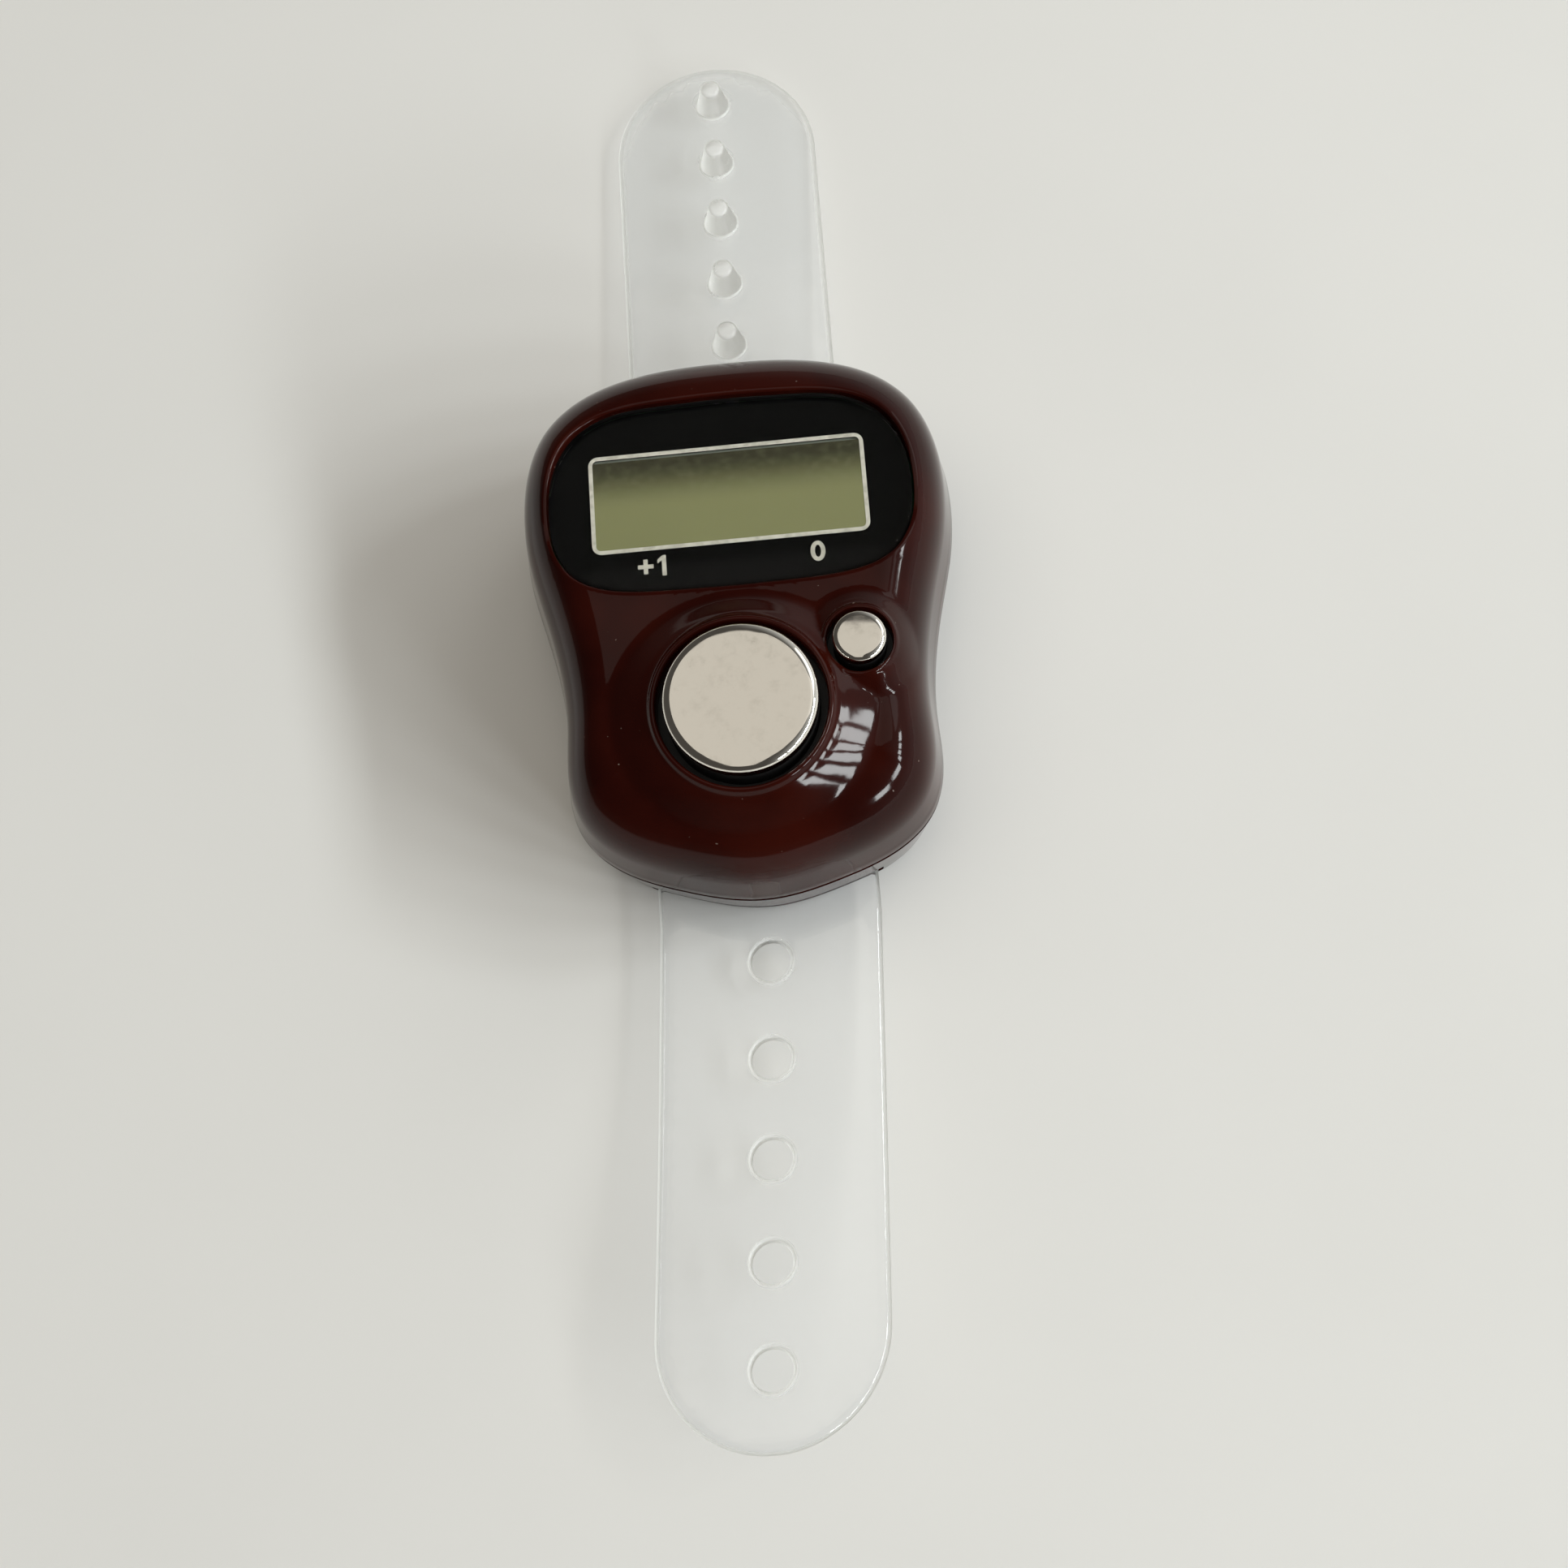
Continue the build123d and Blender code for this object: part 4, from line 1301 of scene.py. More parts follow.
    def rear_cutters(self) -> list[Skin]:
        """Solids that the slot, the strap's recess and the screw holes are cut with.

        Returns:
            One skin for each cut.
        """
        runs = ((self.half_l + 1, self.slot_low_z), (self.half_l - self.foot_l, -1.0))
        cutters = [
            block((self.slot_w / 2, reach), (0, self.centre_y), low, self.slot_high_z) for reach, low in runs
        ]
        for x, y in self.places(self.screw_shares):
            skin = Skin()
            turned(skin, (x, y), [
                (0, -1.0), (self.head_hole_r, -1.0), (self.head_hole_r, self.head_seat_z),
                (self.shank_hole_r, self.head_seat_z), (self.shank_hole_r, self.seam_z + 1), (0, self.seam_z + 1),
            ], 48)
            cutters.append(skin)
        return cutters

    def places(self, shares: Sequence[Pair]) -> list[Pair]:
        """Plan places from shares of the casing's half width and half length."""
        return [(x * self.half_w, self.centre_y + y * self.half_l) for x, y in shares]

    @staticmethod
    def cut(obj: bpy.types.Object, cutters: Sequence[Skin]) -> None:
        """Cuts solids out of a piece.

        Args:
            obj: piece to cut.
            cutters: solids to take away.
        """
        for index, skin in enumerate(cutters):
            tool = skin.piece(f"cutter_{index}", CASING_GLOSS)
            step = obj.modifiers.new("cut", "BOOLEAN")
            step.operation = "DIFFERENCE"
            step.solver = "EXACT"
            step.object = tool
            made = evaluated_mesh(obj)
            obj.modifiers.clear()
            obj.data = made
            bpy.data.objects.remove(tool)
        obj.data.name = obj.name
        shade_smooth(obj.data, 32.0)

    def build(self) -> None:
        """Builds both shells."""
        self.front_shell()
        self.rear_shell()


@dataclass
class Window:
    """Clear window plate, the black print behind it with its white line, and the display film."""

    casing: Casing
    thickness: float = 0.8
    edge_round: float = 0.16
    print_t: float = 0.1
    print_gap: float = 0.01
    view: Pair = (15.9, 5.6)
    line_out: float = 0.40
    line_w: float = 0.25
    line_t: float = 0.008
    line_round: float = 0.6
    line_shift: Pair = (-0.10, 0.08)
    mark_h: float = 1.3
    mark_w: float = 0.26
    mark_drop: float = 0.95
    mark_x: Pair = (-5.3, 5.0)

    def __post_init__(self) -> None:
        """Works out the heights."""
        self.top_z = self.casing.face_z - self.casing.lens_recess
        self.bottom_z = self.top_z - self.thickness

    def lens(self) -> bpy.types.Object:
        """Builds the clear plate with a softly rounded upper edge.

        Returns:
            The plate's object.
        """
        skin = Skin()
        outline = self.casing.lens_outline
        low = skin.ring(outline.loop(), self.bottom_z)
        rings = [low]
        for out, up in rounded((0, 1), (0, 0), (1, 1), 5):
            z = self.top_z - self.edge_round * (1 - up)
            rings.append(skin.ring(outline.loop(self.edge_round * out), z))
        rings.append(skin.ring(outline.loop(self.edge_round + 0.06), self.top_z))
        skin.strips(rings)
        skin.faces += [tuple(low), tuple(rings[-1])]
        return dress(skin.piece("window_plate", WINDOW_CLEAR), Body.CASING, Slot.WINDOW, "window_lens")

    def frame_loop(self, grow: float, radius: float, shift: Pair = (0.0, 0.0), steps: int = 8) -> np.ndarray:
        """Rounded rectangle round the display opening.

        Args:
            grow: margin round the opening.
            radius: radius of its corners.
            shift: plan shift of its centre.
            steps: steps round each corner.

        Returns:
            Points round it.
        """
        half_x, half_y = self.view[0] / 2 + grow, self.view[1] / 2 + grow
        cx, cy = np.add(self.casing.lens_centre, shift)
        found = []
        for sx, sy, start in ((1, 1, 0), (-1, 1, 90), (-1, -1, 180), (1, -1, 270)):
            for i in range(steps + 1):
                turn = math.radians(start + 90 * i / steps)
                found.append((
                    cx + sx * (half_x - radius) + radius * math.cos(turn),
                    cy + sy * (half_y - radius) + radius * math.sin(turn),
                ))
        return np.array(found)

    @staticmethod
    def sheet(
        name: str, outer: np.ndarray, hole: np.ndarray, low: float, high: float, finish: Finish,
    ) -> bpy.types.Object:
        """Builds a thin flat sheet with an opening.

        Args:
            name: name of the piece.
            outer: outer loop.
            hole: loop of the opening.
            low: height of its underside.
            high: height of its upper side.
            finish: its finish.

        Returns:
            The piece.
        """
        skin = Skin()
        loops = [outer, hole]
        pairs = [[skin.ring(loop, z) for z in (low, high)] for loop in loops]
        for bottom, top in pairs:
            skin.strip(bottom, top)
        for z, rings in zip((low, high), zip(*pairs)):
            skin.fill(list(rings), loops, NO_POINTS, level(z))
        return skin.piece(name, finish, 30.0)

    def marks(self, low: float, high: float) -> bpy.types.Object:
        """Builds the printed marks below the display: plus one at the left and nought at the right.

        Args:
            low: height of the print's underside.
            high: height of its top.

        Returns:
            One object with every mark.
        """
        skin = Skin()
        h, w = self.mark_h, self.mark_w
        y = self.casing.lens_centre[1] - self.view[1] / 2 - self.line_out - self.mark_drop
        plus_x, nought_x = self.mark_x
        arm = h * 0.36
        cross = [(w, arm), (w, w), (arm, w), (arm, -w), (w, -w), (w, -arm)]
        plus = np.array([(x / 2 if x == w else x, z / 2 if abs(z) == w else z) for x, z in cross])
        plus = np.concatenate([plus, -plus])
        one_x = plus_x + h * 0.85
        one = np.array([
            (-w / 2, -h / 2), (w / 2, -h / 2), (w / 2, h / 2), (-w / 3, h / 2), (-w * 1.5, h * 0.30),
            (-w * 1.5, h * 0.12), (-w / 2, h * 0.26),
        ])
        turn = np.linspace(0, 2 * math.pi, 56, endpoint=False)
        oval = np.column_stack([np.cos(turn), np.sin(turn)])
        shapes = [
            [plus + (plus_x, y)], [one + (one_x, y)],
            [oval * (h * 0.34, h / 2) + (nought_x, y), oval * (h * 0.34 - w, h / 2 - w) + (nought_x, y)],
        ]
        for loops in shapes:
            lows, highs = ([skin.ring(loop, z) for loop in loops] for z in (low, high))
            for bottom, top in zip(lows, highs):
                skin.strip(bottom, top)
            for z, rings in ((low, lows), (high, highs)):
                skin.fill(rings, loops, NO_POINTS, level(z))
        return skin.piece("window_marks", PRINT_WHITE, 30.0)

    def build(self) -> None:
        """Builds the plate, the print with its line and marks, and dresses the display film."""
        self.lens()
        high = self.bottom_z - self.print_gap
        low = high - self.line_t
        outside = self.frame_loop(self.line_out, self.line_round, self.line_shift)
        opening = self.frame_loop(self.line_out - self.line_w, self.line_round / 2, self.line_shift)
        whole = self.casing.lens_outline.loop()
        black = self.sheet("window_print", whole, opening, self.bottom_z - self.print_t, low, PRINT_BLACK)
        dress(black, Body.CASING, Slot.PRINT, "window_mask")
        line = self.sheet("window_line", outside, opening, low, high, PRINT_WHITE)
        dress(line, Body.CASING, None)
        dress(self.marks(low, high), Body.CASING, None)
        centre, half = self.casing.lens_centre[1], self.view[1] / 2
        film = DisplayFilm("display_film", low_y=centre - half, high_y=centre + half)
        INNER_FINISHES["lcd_front_polariser"] = film


@dataclass
class Key:
    """Plated press button with a flange and a stem below; under its chrome band it is painted black as shade in the
    gap round it.
    """

    name: str
    node: str
    body: Body
    centre: Pair
    cap_r: float
    top_z: float
    edge_r: float
    crown: float
    flange_r: float
    flange_z: Pair
    stem_r: float
    stem_z: float
    cap_wall: float
    segments: int
    chrome_above_shade_h: float
    edge_share: float = 0.75
    flange_soft: float = 0.05

    def build(self) -> bpy.types.Object:
        """Builds the turned button.

        Returns:
            The button's object.
        """
        rim_z = self.top_z - self.crown
        edge_h = self.edge_r * self.edge_share
        inner_r, inner_z = self.cap_r - self.cap_wall, self.top_z - self.cap_wall
        low, high = self.flange_z
        profile = [(0, self.top_z)]
        flat_r = self.cap_r - self.edge_r
        profile += [
            (flat_r * share, rim_z + self.crown * (1 - share**2)) for share in np.linspace(0.06, 0.96, 14)
        ]
        profile += rounded((self.cap_r, rim_z), (flat_r, rim_z), (self.cap_r, rim_z - edge_h), 12)
        soft = self.flange_soft
        profile += [
            (self.cap_r, self.top_z - self.chrome_above_shade_h), (self.cap_r, high + 0.06), (self.cap_r + 0.02, high),
            (self.flange_r - soft, high), (self.flange_r, high - soft), (self.flange_r, low + soft),
            (self.flange_r - soft, low), (inner_r + 0.03, low), (inner_r, low + 0.03), (inner_r, inner_z),
            (self.stem_r, inner_z), (self.stem_r, self.stem_z), (0, self.stem_z),
        ]
        skin = Skin()
        turned(skin, self.centre, profile, self.segments)
        cap = skin.piece(self.name, BRIGHT_PLATING)
        # Painted shade: faces below the chrome band and faces looking down take the black, for the shade in the gap
        # round the button.
        cap.data.materials.append(PAINTED_GAP_SHADE.material())
        line = (self.top_z - self.chrome_above_shade_h) * MM
        for face in cap.data.polygons:
            face.material_index = int(face.center.z < line or face.normal.z < -0.5)
        return dress(cap, self.body, Slot.PLATING, self.node)


@dataclass
class Dome:
    """Hollow silicone dome under a button, its foot on the board."""

    name: str
    node: str
    body: Body
    centre: Pair
    base_r: float
    crown_r: float
    top_z: float
    hollow_r: float
    hollow_z: float
    board_z: float = 9.2
    foot_t: float = 0.5
    foot_w: float = 0.5
    web: float = 0.55
    round_r: float = 0.12
    give_low: float = 0.2
    give_high: float = 0.3
    segments: int = 64

    def build(self) -> bpy.types.Object:
        """Builds the turned dome.

        Returns:
            The dome's object.
        """
        foot_z = self.board_z + self.foot_t
        cone_r, soft = self.base_r - self.foot_w, self.round_r
        shares = np.linspace(0, 1, 15)
        profile = [(0.0, self.top_z), (self.crown_r * 0.5, self.top_z)]
        profile += rounded(
            (self.crown_r, self.top_z), (self.crown_r - soft, self.top_z), (self.crown_r, self.top_z - soft), 4
        )
        profile += [
            (self.crown_r + (cone_r - self.crown_r) * share, self.top_z - soft + (foot_z - self.top_z + soft) * share)
            for share in shares[1:]
        ]
        profile += rounded((self.base_r, foot_z), (self.base_r - soft, foot_z), (self.base_r, foot_z - soft), 4)
        inner_r = cone_r - self.web
        profile += [(self.base_r, self.board_z)]
        profile += [
            (inner_r + (self.hollow_r - inner_r) * share, self.board_z + (self.hollow_z - self.board_z) * share)
            for share in shares
        ]
        profile += [(self.hollow_r * 0.5, self.hollow_z), (0.0, self.hollow_z)]
        skin = Skin()
        turned(skin, self.centre, profile, self.segments)
        dome = skin.piece(self.name, DOME_SILICONE)
        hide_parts(self.node)
        x, y = (part * MM for part in self.centre)
        low, high = (self.board_z + self.give_low) * MM, (self.hollow_z + self.give_high) * MM
        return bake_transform(dome)


@dataclass
class StrapTail:
    """One run of the clear strap: from behind a bar of the casing, round its bend and out to its free end."""

    name: str
    body: Body
    nodes: tuple[str, ...]
    side: int
    casing: Casing
    length: float
    rise: float
    mid_share: float
    lean_deg: float
    start: float
    width: float = 13.7
    thickness: float = 0.95
    edge_round: float = 0.45
    layer_z: float = 1.475
    bend_out: float = 0.25
    bend_before: float = 0.5
    bend_after: float = 2.6
    count: int = 5
    pitch: float = 5.0
    end_gap: float = 4.0
    segments: int = 48

    def __post_init__(self) -> None:
        """Works out where the bend is."""
        self.bend = self.casing.half_l + self.bend_out
        self.reach = self.bend + self.length

    def outline(self, inset: float) -> np.ndarray:
        """Plan loop, straight from the start to a round end, moved inwards except at the start.

        Args:
            inset: how far inwards.

        Returns:
            Plan points of the closed loop.
        """
        half = self.width / 2 - inset
        centre = self.reach - self.width / 2
        runs = np.linspace(self.start, centre, 130)[:-1]
        turn = np.linspace(0, math.pi, 73)
        right = np.column_stack([np.full(len(runs), half), runs])
        end = np.column_stack([half * np.cos(turn), centre + half * np.sin(turn)])
        left = np.column_stack([np.full(len(runs), -half), runs[::-1]])
        return np.concatenate([right, end, left])

    def bent(self, plan: np.ndarray, layer: np.ndarray) -> np.ndarray:
        """3-D places of plan points at a distance from the middle layer.

        Args:
            plan: across and along places.
            layer: distance above the middle layer.

        Returns:
            Places in the part's frame.
        """
        along = plan[:, 1]
        out = np.clip((along - self.bend) / self.length, 0, None)
        a, b = self.rise * (2 - 4 * self.mid_share), self.rise * (4 * self.mid_share - 1)
        height = a * out**2 + b * out
        slope = np.where(out > 0, (2 * a * out + b) / self.length, 0)
        tilt = np.arctan(slope)
        lean = np.tan(math.radians(self.lean_deg)) * np.clip(along - self.bend, 0, None)
        y = along - layer * np.sin(tilt)
        z = self.layer_z + height + layer * np.cos(tilt)
        return np.column_stack([self.side * (plan[:, 0] + lean), self.casing.centre_y + self.side * y, z])

    def features(self) -> list[float]:
        """How far along the strap each peg or hole stands."""
        return [self.reach - self.end_gap - i * self.pitch for i in range(self.count)]

    def feature_loops(self) -> tuple[list[np.ndarray], list[np.ndarray]]:
        """Loops that the upper and lower faces leave open."""
        return [], []

    def finish_features(self, skin: Skin, upper: list[list[int]], lower: list[list[int]]) -> None:
        """Closes the open loops with pegs or hole walls."""

    def build(self) -> bpy.types.Object:
        """Builds the run, shaped round its bend between the casing and its tail.

        Returns:
            The run's object.
        """
        skin = Skin()
        half_t = self.thickness / 2
        rings, loops = [], []
        for i in range(9):
            turn = math.pi * i / 8
            loop = self.outline(self.edge_round * (1 - math.sin(turn)))
            layer = half_t - self.edge_round if i < 4 else self.edge_round - half_t
            layer = (0 if i == 4 else layer) + self.edge_round * math.cos(turn)
            rings.append(skin.add(self.bent(loop, np.full(len(loop), layer))))
            loops.append(loop)
        for first, second in zip(rings, rings[1:]):
            for i in range(len(first) - 1):
                skin.faces.append((first[i], first[i + 1], second[i + 1], second[i]))
        skin.faces.append(tuple(ring[0] for ring in rings) + tuple(ring[-1] for ring in reversed(rings)))
        openings = []
        for ring, loop, holes, layer in zip(
            (rings[0], rings[-1]), (loops[0], loops[-1]), self.feature_loops(), (half_t, -half_t),
        ):
            hole_rings = [skin.add(self.bent(hole, np.full(len(hole), layer))) for hole in holes]
            everything = [loop, *holes]
            around = [(moved_in(hole, -0.35), 0.15) for hole in holes]
            inner = spread(everything, [*around, (honeycomb(loop, 0.8), 0.42)])
            skin.fill([ring, *hole_rings], everything, inner,
                      lambda plan, layer=layer: self.bent(plan, np.full(len(plan), layer)))
            openings.append(hole_rings)
        plain = len(skin.faces)
        self.finish_features(skin, *openings)
        obj = skin.piece(self.name, STRAP_CLEAR, 50.0)
        obj.data.materials.append(PEG_CLEAR.material())
        for face in obj.data.polygons[plain:]:
            face.material_index = 1
        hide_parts(*self.nodes)
        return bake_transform(obj)


@dataclass
class PegTail(StrapTail):
    """Run with a row of moulded pegs on its upper side."""

    pitch: float = 4.77
    end_gap: float = 3.2
    segments: int = 40
    base_r: float = 1.05
    tip_r: float = 0.7
    peg_h: float = 2.05
    foot: float = 0.18
    tip_round: float = 0.25

    def feature_loops(self) -> tuple[list[np.ndarray], list[np.ndarray]]:
        """Foot circles of the pegs on the upper face."""
        return [circle((0, along), self.base_r + self.foot, self.segments) for along in self.features()], []

    def finish_features(self, skin: Skin, upper: list[list[int]], lower: list[list[int]]) -> None:
        """Raises a peg on each foot circle.

        Args:
            skin: the run's skin.
            upper: foot circles in the upper side.
            lower: none, as the pegs stand on one side.
        """
        base = self.thickness / 2
        top_r, shoulder_z = self.tip_r - self.tip_round, self.peg_h - self.tip_round
        profile = rounded((self.base_r, 0), (self.base_r + self.foot, 0), (self.base_r, self.foot), 4)[1:]
        profile.append(((self.base_r + self.tip_r) / 2, self.peg_h / 2))
        profile += rounded((self.tip_r, self.peg_h), (self.tip_r, shoulder_z), (top_r, self.peg_h), 4)
        profile.append((top_r * 0.5, self.peg_h + 0.02))
        for ring, along in zip(upper, self.features()):
            rings = [ring]
            middle = self.bent(np.array([(0, along)]), np.array([base]))[0]
            rise = self.bent(np.array([(0, along)]), np.array([base + 1]))[0] - middle
            flat = self.bent(circle((0, along), 1.0, self.segments), np.full(self.segments, base)) - middle
            for radius, height in profile:
                rings.append(skin.add(middle + flat * radius + rise * height))
            skin.strips(rings)
            skin.fan(rings[-1], middle + rise * (self.peg_h + 0.03))


@dataclass
class HoleTail(StrapTail):
    """Run with a row of round holes."""

    pitch: float = 6.03
    end_gap: float = 4.6
    hole_r: float = 1.22
    hole_round: float = 0.26

    def feature_loops(self) -> tuple[list[np.ndarray], list[np.ndarray]]:
        """Rims of the holes on both faces."""
        radius = self.hole_r + self.hole_round
        rims = [circle((0, along), radius, self.segments) for along in self.features()]
        return rims, rims

    def finish_features(self, skin: Skin, upper: list[list[int]], lower: list[list[int]]) -> None:
        """Walls each hole, with soft rims.

        Args:
            skin: the run's skin.
            upper: rims in the upper side.
            lower: rims in the lower side.
        """
        half_t = self.thickness / 2
        for top, bottom, along in zip(upper, lower, self.features()):
            rings = [top]
            profile = rounded((0, 0), (1, 0), (0, 1), 4)[1:]
            steps = [(self.hole_round * out, half_t - self.hole_round * down) for out, down in profile]
            steps += [(out, -layer) for out, layer in reversed(steps)]
            for out, layer in steps:
                loop = circle((0, along), self.hole_r + out, self.segments)
                rings.append(skin.add(self.bent(loop, np.full(len(loop), layer))))
            rings.append(bottom)
            skin.strips(rings)


@dataclass
class ScrewSet:
    """Cross-head screws, one pattern set at each place by Geometry Nodes."""

    name: str
    node: str
    places: list[Pair]
    seat_z: float
    length: float
    shank_r: float = 0.7
    head_r: float = 1.2
    head_h: float = 0.9
    cross_w: float = 0.28
    cross_l: float = 1.5
    cross_depth: float = 0.4
    turn: float = 0.7
    finish: Finish = SCREW_STEEL

    def pattern(self) -> bpy.types.Object:
        """One screw at the origin, head down, with its seat at height 0.

        Returns:
            The screw's object.
        """
        skin = Skin()
        low = -self.head_h
        profile = [(0, self.length), (self.shank_r - 0.25, self.length)]
        profile += [(self.shank_r, self.length - 0.35), (self.shank_r, 0.0), (self.head_r - 0.08, 0.0)]
        profile += [(self.head_r, -0.08)]
        profile += rounded((self.head_r, low), (self.head_r, low + 0.4), (self.head_r - 0.4, low), 6)[1:]
        profile += [(0, low)]
        turned(skin, (0, 0), profile, 40)
        screw = skin.piece(f"{self.name}_pattern", self.finish, 30.0)
        arm = (self.cross_l / 2, self.cross_w / 2)
        Casing.cut(screw, [block(half, (0, 0), low - 0.5, low + self.cross_depth) for half in (arm, arm[::-1])])
        return screw

    def tree(self, screw: bpy.types.Object) -> bpy.types.GeometryNodeTree:
        """Node tree that sets the pattern at each point at a height.

        Args:
            screw: pattern object.

        Returns:
            The node tree.
        """
        tree = bpy.data.node_groups.new(f"{self.name}_setting", "GeometryNodeTree")
        sockets = tree.interface
        sockets.new_socket("Places", in_out="INPUT", socket_type="NodeSocketGeometry")
        sockets.new_socket("Seat height", in_out="INPUT", socket_type="NodeSocketFloat")
        sockets.new_socket("Turn", in_out="INPUT", socket_type="NodeSocketFloat")
        sockets.new_socket("Screws", in_out="OUTPUT", socket_type="NodeSocketGeometry")
        add = tree.nodes.new
        source, sink = add("NodeGroupInput"), add("NodeGroupOutput")
        pattern = add("GeometryNodeObjectInfo")
        pattern.inputs["Object"].default_value = screw
        shift, spin, number = add("ShaderNodeCombineXYZ"), add("ShaderNodeCombineXYZ"), add("GeometryNodeInputIndex")
        turn = add("ShaderNodeMath")
        turn.operation = "MULTIPLY"
        lift, set_on = add("GeometryNodeSetPosition"), add("GeometryNodeInstanceOnPoints")
        real, paint = add("GeometryNodeRealizeInstances"), add("GeometryNodeSetMaterial")
        paint.inputs["Material"].default_value = self.finish.material()
        for start, end in (
            (source.outputs["Seat height"], shift.inputs["Z"]), (source.outputs["Places"], lift.inputs["Geometry"]),
            (shift.outputs[0], lift.inputs["Offset"]), (lift.outputs[0], set_on.inputs["Points"]),
            (pattern.outputs["Geometry"], set_on.inputs["Instance"]), (number.outputs[0], turn.inputs[0]),
            (source.outputs["Turn"], turn.inputs[1]), (turn.outputs[0], spin.inputs["Z"]),
            (spin.outputs[0], set_on.inputs["Rotation"]), (set_on.outputs[0], real.inputs[0]),
            (real.outputs[0], paint.inputs["Geometry"]), (paint.outputs[0], sink.inputs["Screws"]),
        ):
            tree.links.new(start, end)
        return tree

    def build(self) -> bpy.types.Object:
        """Sets the screws and turns them into one plain mesh.

        Returns:
            One object with every screw.
        """
        screw = self.pattern()
        tree = self.tree(screw)
        points = bpy.data.meshes.new(f"{self.name}_places")
        points.from_pydata([(x * MM, y * MM, 0) for x, y in self.places], [], [])
        holder = place_object(f"{self.name}_places", points)
        setting = holder.modifiers.new("setting", "NODES")
        setting.node_group = tree
        names = {item.name: item.identifier for item in tree.interface.items_tree if item.in_out == "INPUT"}
        setting[names["Seat height"]] = self.seat_z * MM
        setting[names["Turn"]] = self.turn
        made = evaluated_mesh(holder)
        for spare in (holder, screw):
            bpy.data.objects.remove(spare)
        made.name = self.name
        log.info("%s: %d faces", self.name, len(made.polygons))
        return dress(place_object(self.name, made), Body.CASING, Slot.STEEL, self.node)


@dataclass
class Studio:
    """Pale table, soft room light with a window on the right, and the photograph's camera."""

    centre_y: float
    focal_mm: float = 48.3
    eye: tuple[float, float, float] = (7.42, -47.12, 127.76)
    right: tuple[float, float, float] = (0.995, -0.0719, -0.069)
    up: tuple[float, float, float] = (0.0887, 0.9543, 0.2854)
    ahead: tuple[float, float, float] = (-0.0453, 0.2901, -0.9559)
    floor_half_mm: float = 3000.0
    dim: Colour = (0.065, 0.06, 0.054)
    bright: Colour = (0.52, 0.52, 0.505)
    horizon: Colour = (0.70, 0.695, 0.675)
    horizon_left: Colour = (0.13, 0.12, 0.108)
    plain_white: Colour = (1.0, 0.985, 0.955)
    warm_white: Colour = (1.0, 0.945, 0.855)
    cool_white: Colour = (0.96, 1.0, 1.0)
    shade_white: Colour = (1.0, 0.93, 0.805)
    pane_reach: float = 900.0
    pane_size: Pair = (123, 115)
    pane_glow: float = 24.0
    panes: list[Pair] = field(default_factory=lambda: [
        (10, 37), (-3, 36.5), (-16, 35), (-29, 31), (-42, 25), (-54, 20),
    ])

    def floor(self) -> None:
        """Builds the table top."""
        mesh = bpy.data.meshes.new("table_top")
        half = self.floor_half_mm * MM
        mesh.from_pydata([(-half, -half, 0), (half, -half, 0), (half, half, 0), (-half, half, 0)], [], [(0, 1, 2, 3)])
        mesh.materials.append(TablePaint("table_paint").material())
        place_object("table_top", mesh)

    def room(self) -> None:
        """Lights the room: pale low down all round, bright on the right and dim on the left."""
        world = bpy.data.worlds.new("room")
        bpy.context.scene.world = world
        world.use_nodes = True
        shader = Shader(world.node_tree)
        way = shader.node("ShaderNodeTexCoord", {}, {}).value("Generated")
        parts = shader.node("ShaderNodeSeparateXYZ", {}, {0: way})
        right = (parts.value("X") + parts.value("Y") * 0.25).over(0.05, 0.85)
        low = 1 - parts.value("Z").over(0.06, 0.30)
        colour = shader.blend(right, flat(self.dim), flat(self.bright))
        skirt = shader.blend(right, flat(self.horizon_left), flat(self.horizon))
        colour = shader.blend(low, colour, skirt)
        background = shader.node("ShaderNodeBackground", {}, {"Color": colour, "Strength": 1.0}).value()
        shader.output(background, "ShaderNodeOutputWorld")

    def lamp(
        self, name: str, place: Place, size: Pair, glow: float, tint: Colour, aim: Aim = Aim.COUNTER,
    ) -> bpy.types.Object:
        """Hangs a soft lamp.

        Args:
            name: name of the lamp.
            place: its centre in millimetres.
            size: its width and height in millimetres.
            glow: how bright its face looks, where 1 is white.
            tint: its colour.
            aim: what it faces.

        Returns:
            The lamp.
        """
        light = bpy.data.lights.new(name, "AREA")
        light.shape = "RECTANGLE"
        light.size, light.size_y = size[0] * MM, size[1] * MM
        light.energy = glow * math.pi * light.size * light.size_y
        light.color = tint
        obj = place_object(name, light)
        away, side = Vector((0, 0, 1)), Vector((1, 0, 0))
        if aim is Aim.COUNTER:
            away = (Vector(place) - Vector((0, self.centre_y, 8))).normalized()
            side = Vector((0, 0, 1)).cross(away).normalized()
        turn = Matrix((side, away.cross(side), away)).transposed().to_4x4()
        obj.matrix_world = Matrix.Translation(Vector(place) * MM) @ turn
        return obj

    def lamps(self) -> None:
        """Hangs the soft boxes, the overhead fill and the panes of a window low on the right."""
        self.lamp("overhead_far", (72, 121, 430), (336, 122), 0.56, self.warm_white, Aim.DOWN)
        self.lamp("overhead_near", (-35, -70, 430), (122, 260), 0.56, self.warm_white, Aim.DOWN)
        self.lamp("right_box", (300, 260, 330), (250, 250), 1.05, self.plain_white)
        fill = self.lamp("overhead_fill", (-820, 480, 2700), (2880, 2880), 0.90, self.shade_white, Aim.DOWN)
        fill.visible_glossy = False
        for index, (turn_deg, up_deg) in enumerate(self.panes):
            turn, up = math.radians(turn_deg), math.radians(up_deg)
            out, rise = self.pane_reach * math.cos(up), self.pane_reach * math.sin(up) + 8
            place = (out * math.cos(turn), self.centre_y + out * math.sin(turn), rise)
            self.lamp(f"pane_{index}", place, self.pane_size, self.pane_glow, self.cool_white)

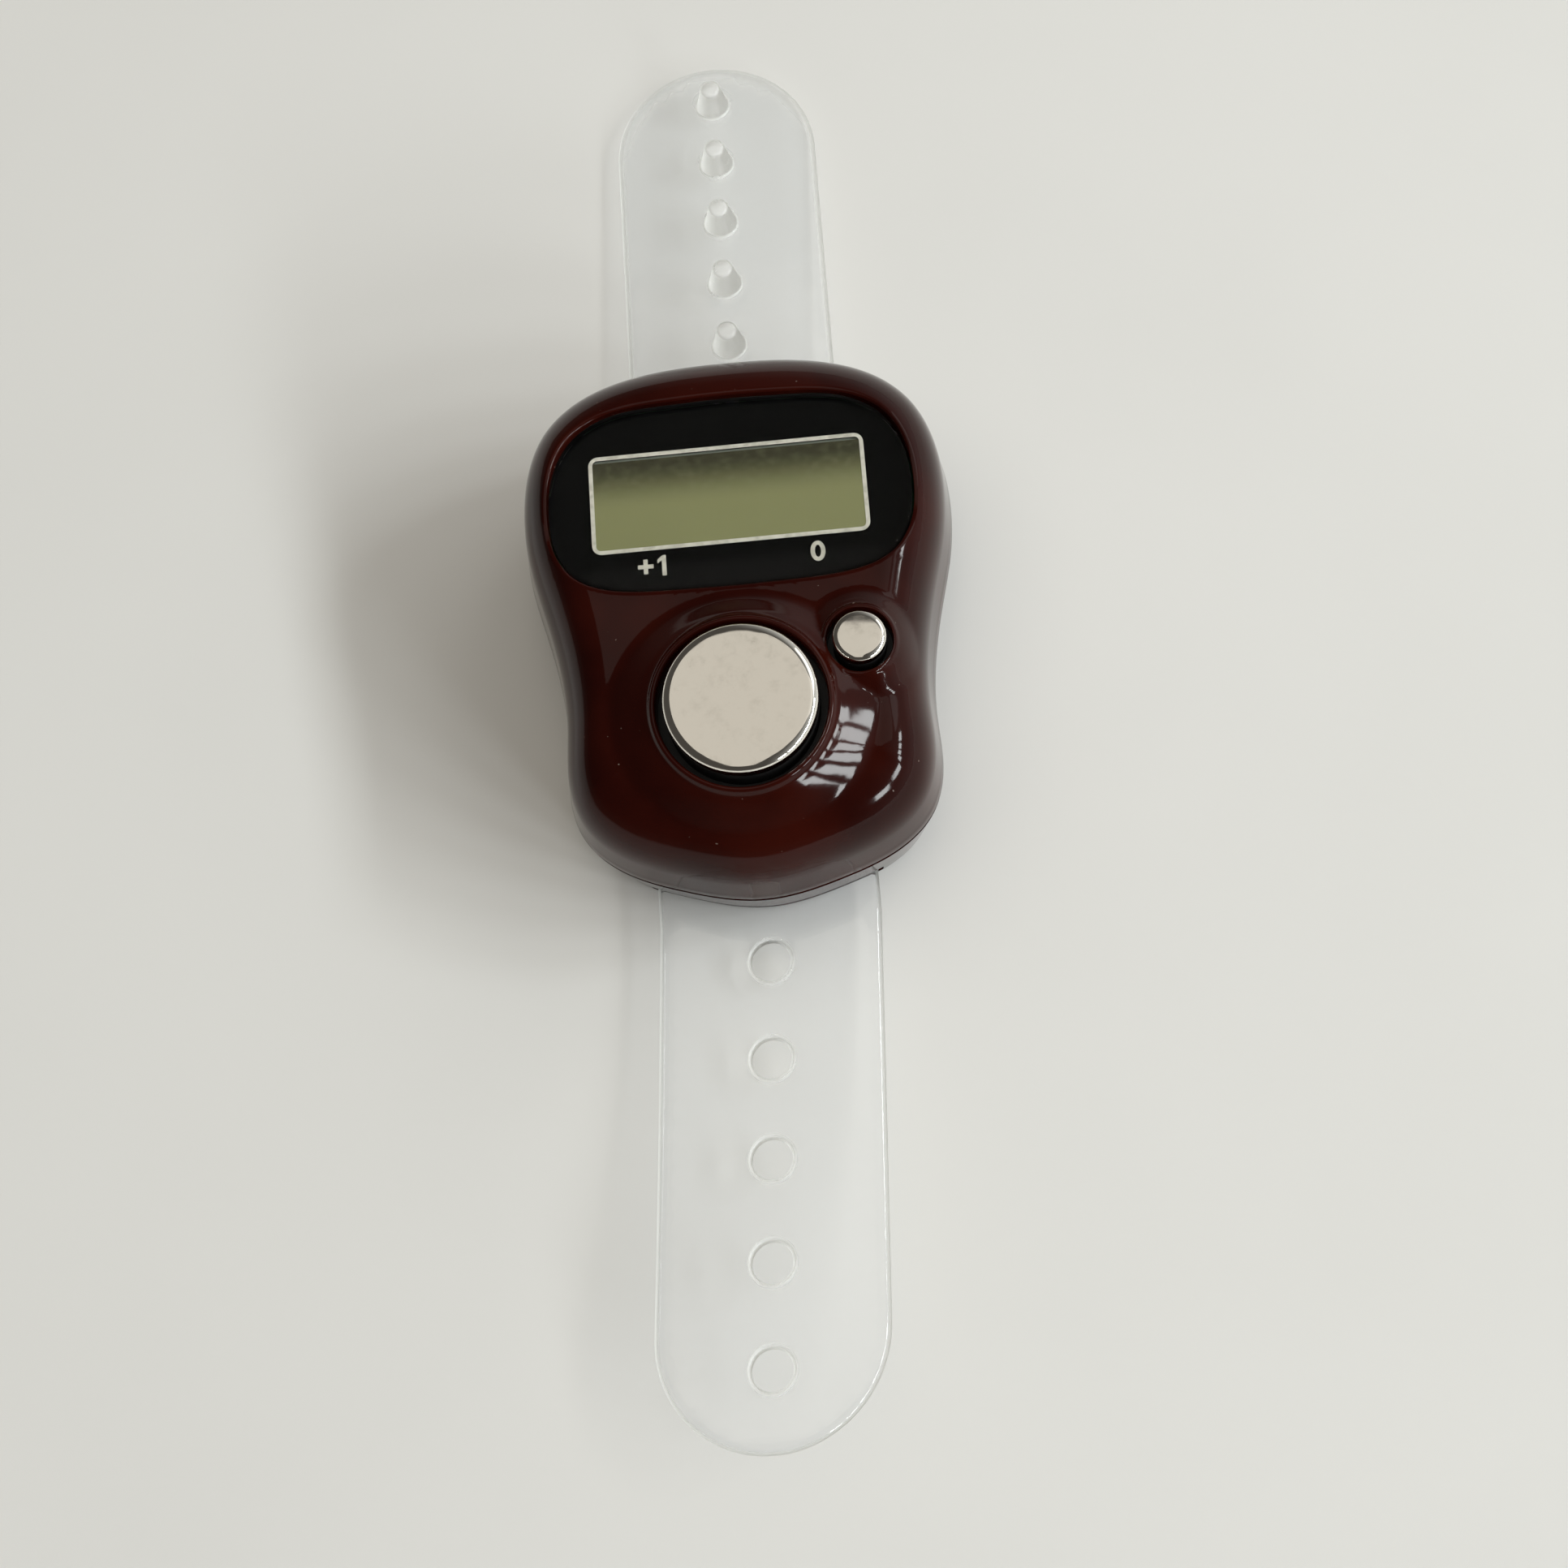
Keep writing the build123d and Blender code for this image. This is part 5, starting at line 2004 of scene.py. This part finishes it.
    def camera(self) -> None:
        """Sets the camera where the photograph was taken from."""
        data = bpy.data.cameras.new("camera")
        data.lens, data.sensor_width = self.focal_mm, 36.0
        data.clip_start = 0.005
        camera = place_object("camera", data)
        axes = Matrix((self.right, self.up, tuple(-a for a in self.ahead))).transposed().to_4x4()
        place = Vector((self.eye[0], self.eye[1] + self.centre_y, self.eye[2])) * MM
        camera.matrix_world = Matrix.Translation(place) @ axes
        bpy.context.scene.camera = camera

    def build(self) -> None:
        """Sets the table, the light and the camera."""
        bpy.context.scene.view_settings.view_transform = "Standard"
        self.floor()
        self.room()
        self.lamps()
        self.camera()


def dress_inner_nodes() -> None:
    """Gives each CAD node that still shows the finish of its own material."""
    for name, finish in INNER_FINISHES.items():
        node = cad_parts[name]
        node.data.materials.clear()
        node.data.materials.append(finish.material())


def main() -> None:
    """Builds the counter, its room and its camera."""
    logging.basicConfig(level=logging.INFO, format="%(name)s %(message)s")
    low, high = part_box("front_shell")
    centre_y = (low.y + high.y) / 2 / MM
    casing = Casing(centre_y)
    casing.build()
    Window(casing).build()
    Key(
        "count_cap", "count_button", Body.COUNT_KEY, casing.count.centre, cap_r=4.45, top_z=16.1, edge_r=0.5,
        crown=0.03, flange_r=5.05, flange_z=(12.75, 13.45), stem_r=1.9, stem_z=12.4, cap_wall=1.0, segments=160,
        chrome_above_shade_h=1.1,
    ).build()
    Key(
        "reset_cap", "reset_button", Body.RESET_KEY, casing.reset.centre, cap_r=1.55, top_z=15.0, edge_r=0.36,
        crown=0.02, flange_r=1.95, flange_z=(12.5, 13.0), stem_r=0.6, stem_z=12.2, cap_wall=0.45, segments=96,
        chrome_above_shade_h=0.75,
    ).build()
    Dome(
        "count_return_dome", "count_dome", Body.COUNT_KEY, casing.count.centre, base_r=4.4, crown_r=2.2, top_z=12.35,
        hollow_r=1.7, hollow_z=10.7,
    ).build()
    Dome(
        "reset_return_dome", "reset_dome", Body.RESET_KEY, casing.reset.centre, base_r=2.3, crown_r=0.9, top_z=12.15,
        hollow_r=1.1, hollow_z=10.5,
    ).build()
    PegTail(
        "strap_with_pegs", Body.PEG_TAIL, ("strap_centre", "strap_peg_tail"), 1, casing, length=26.79, rise=-0.95,
        mid_share=0.62, lean_deg=0.0, start=-15.0,
    ).build()
    HoleTail(
        "strap_with_holes", Body.HOLE_TAIL, ("strap_hole_tail",), -1, casing, length=31.31, rise=3.3, mid_share=0.25,
        lean_deg=3.4, start=15.0,
    ).build()
    ScrewSet("casing_screws", "case_screws", casing.places(casing.screw_shares), seat_z=3.2, length=6.0).build()
    ScrewSet("inner_screws", "board_screws", casing.places(casing.board_shares), seat_z=8.4, length=2.4).build()
    dress_inner_nodes()
    Studio(centre_y).build()


if __name__ == "__main__":
    main()
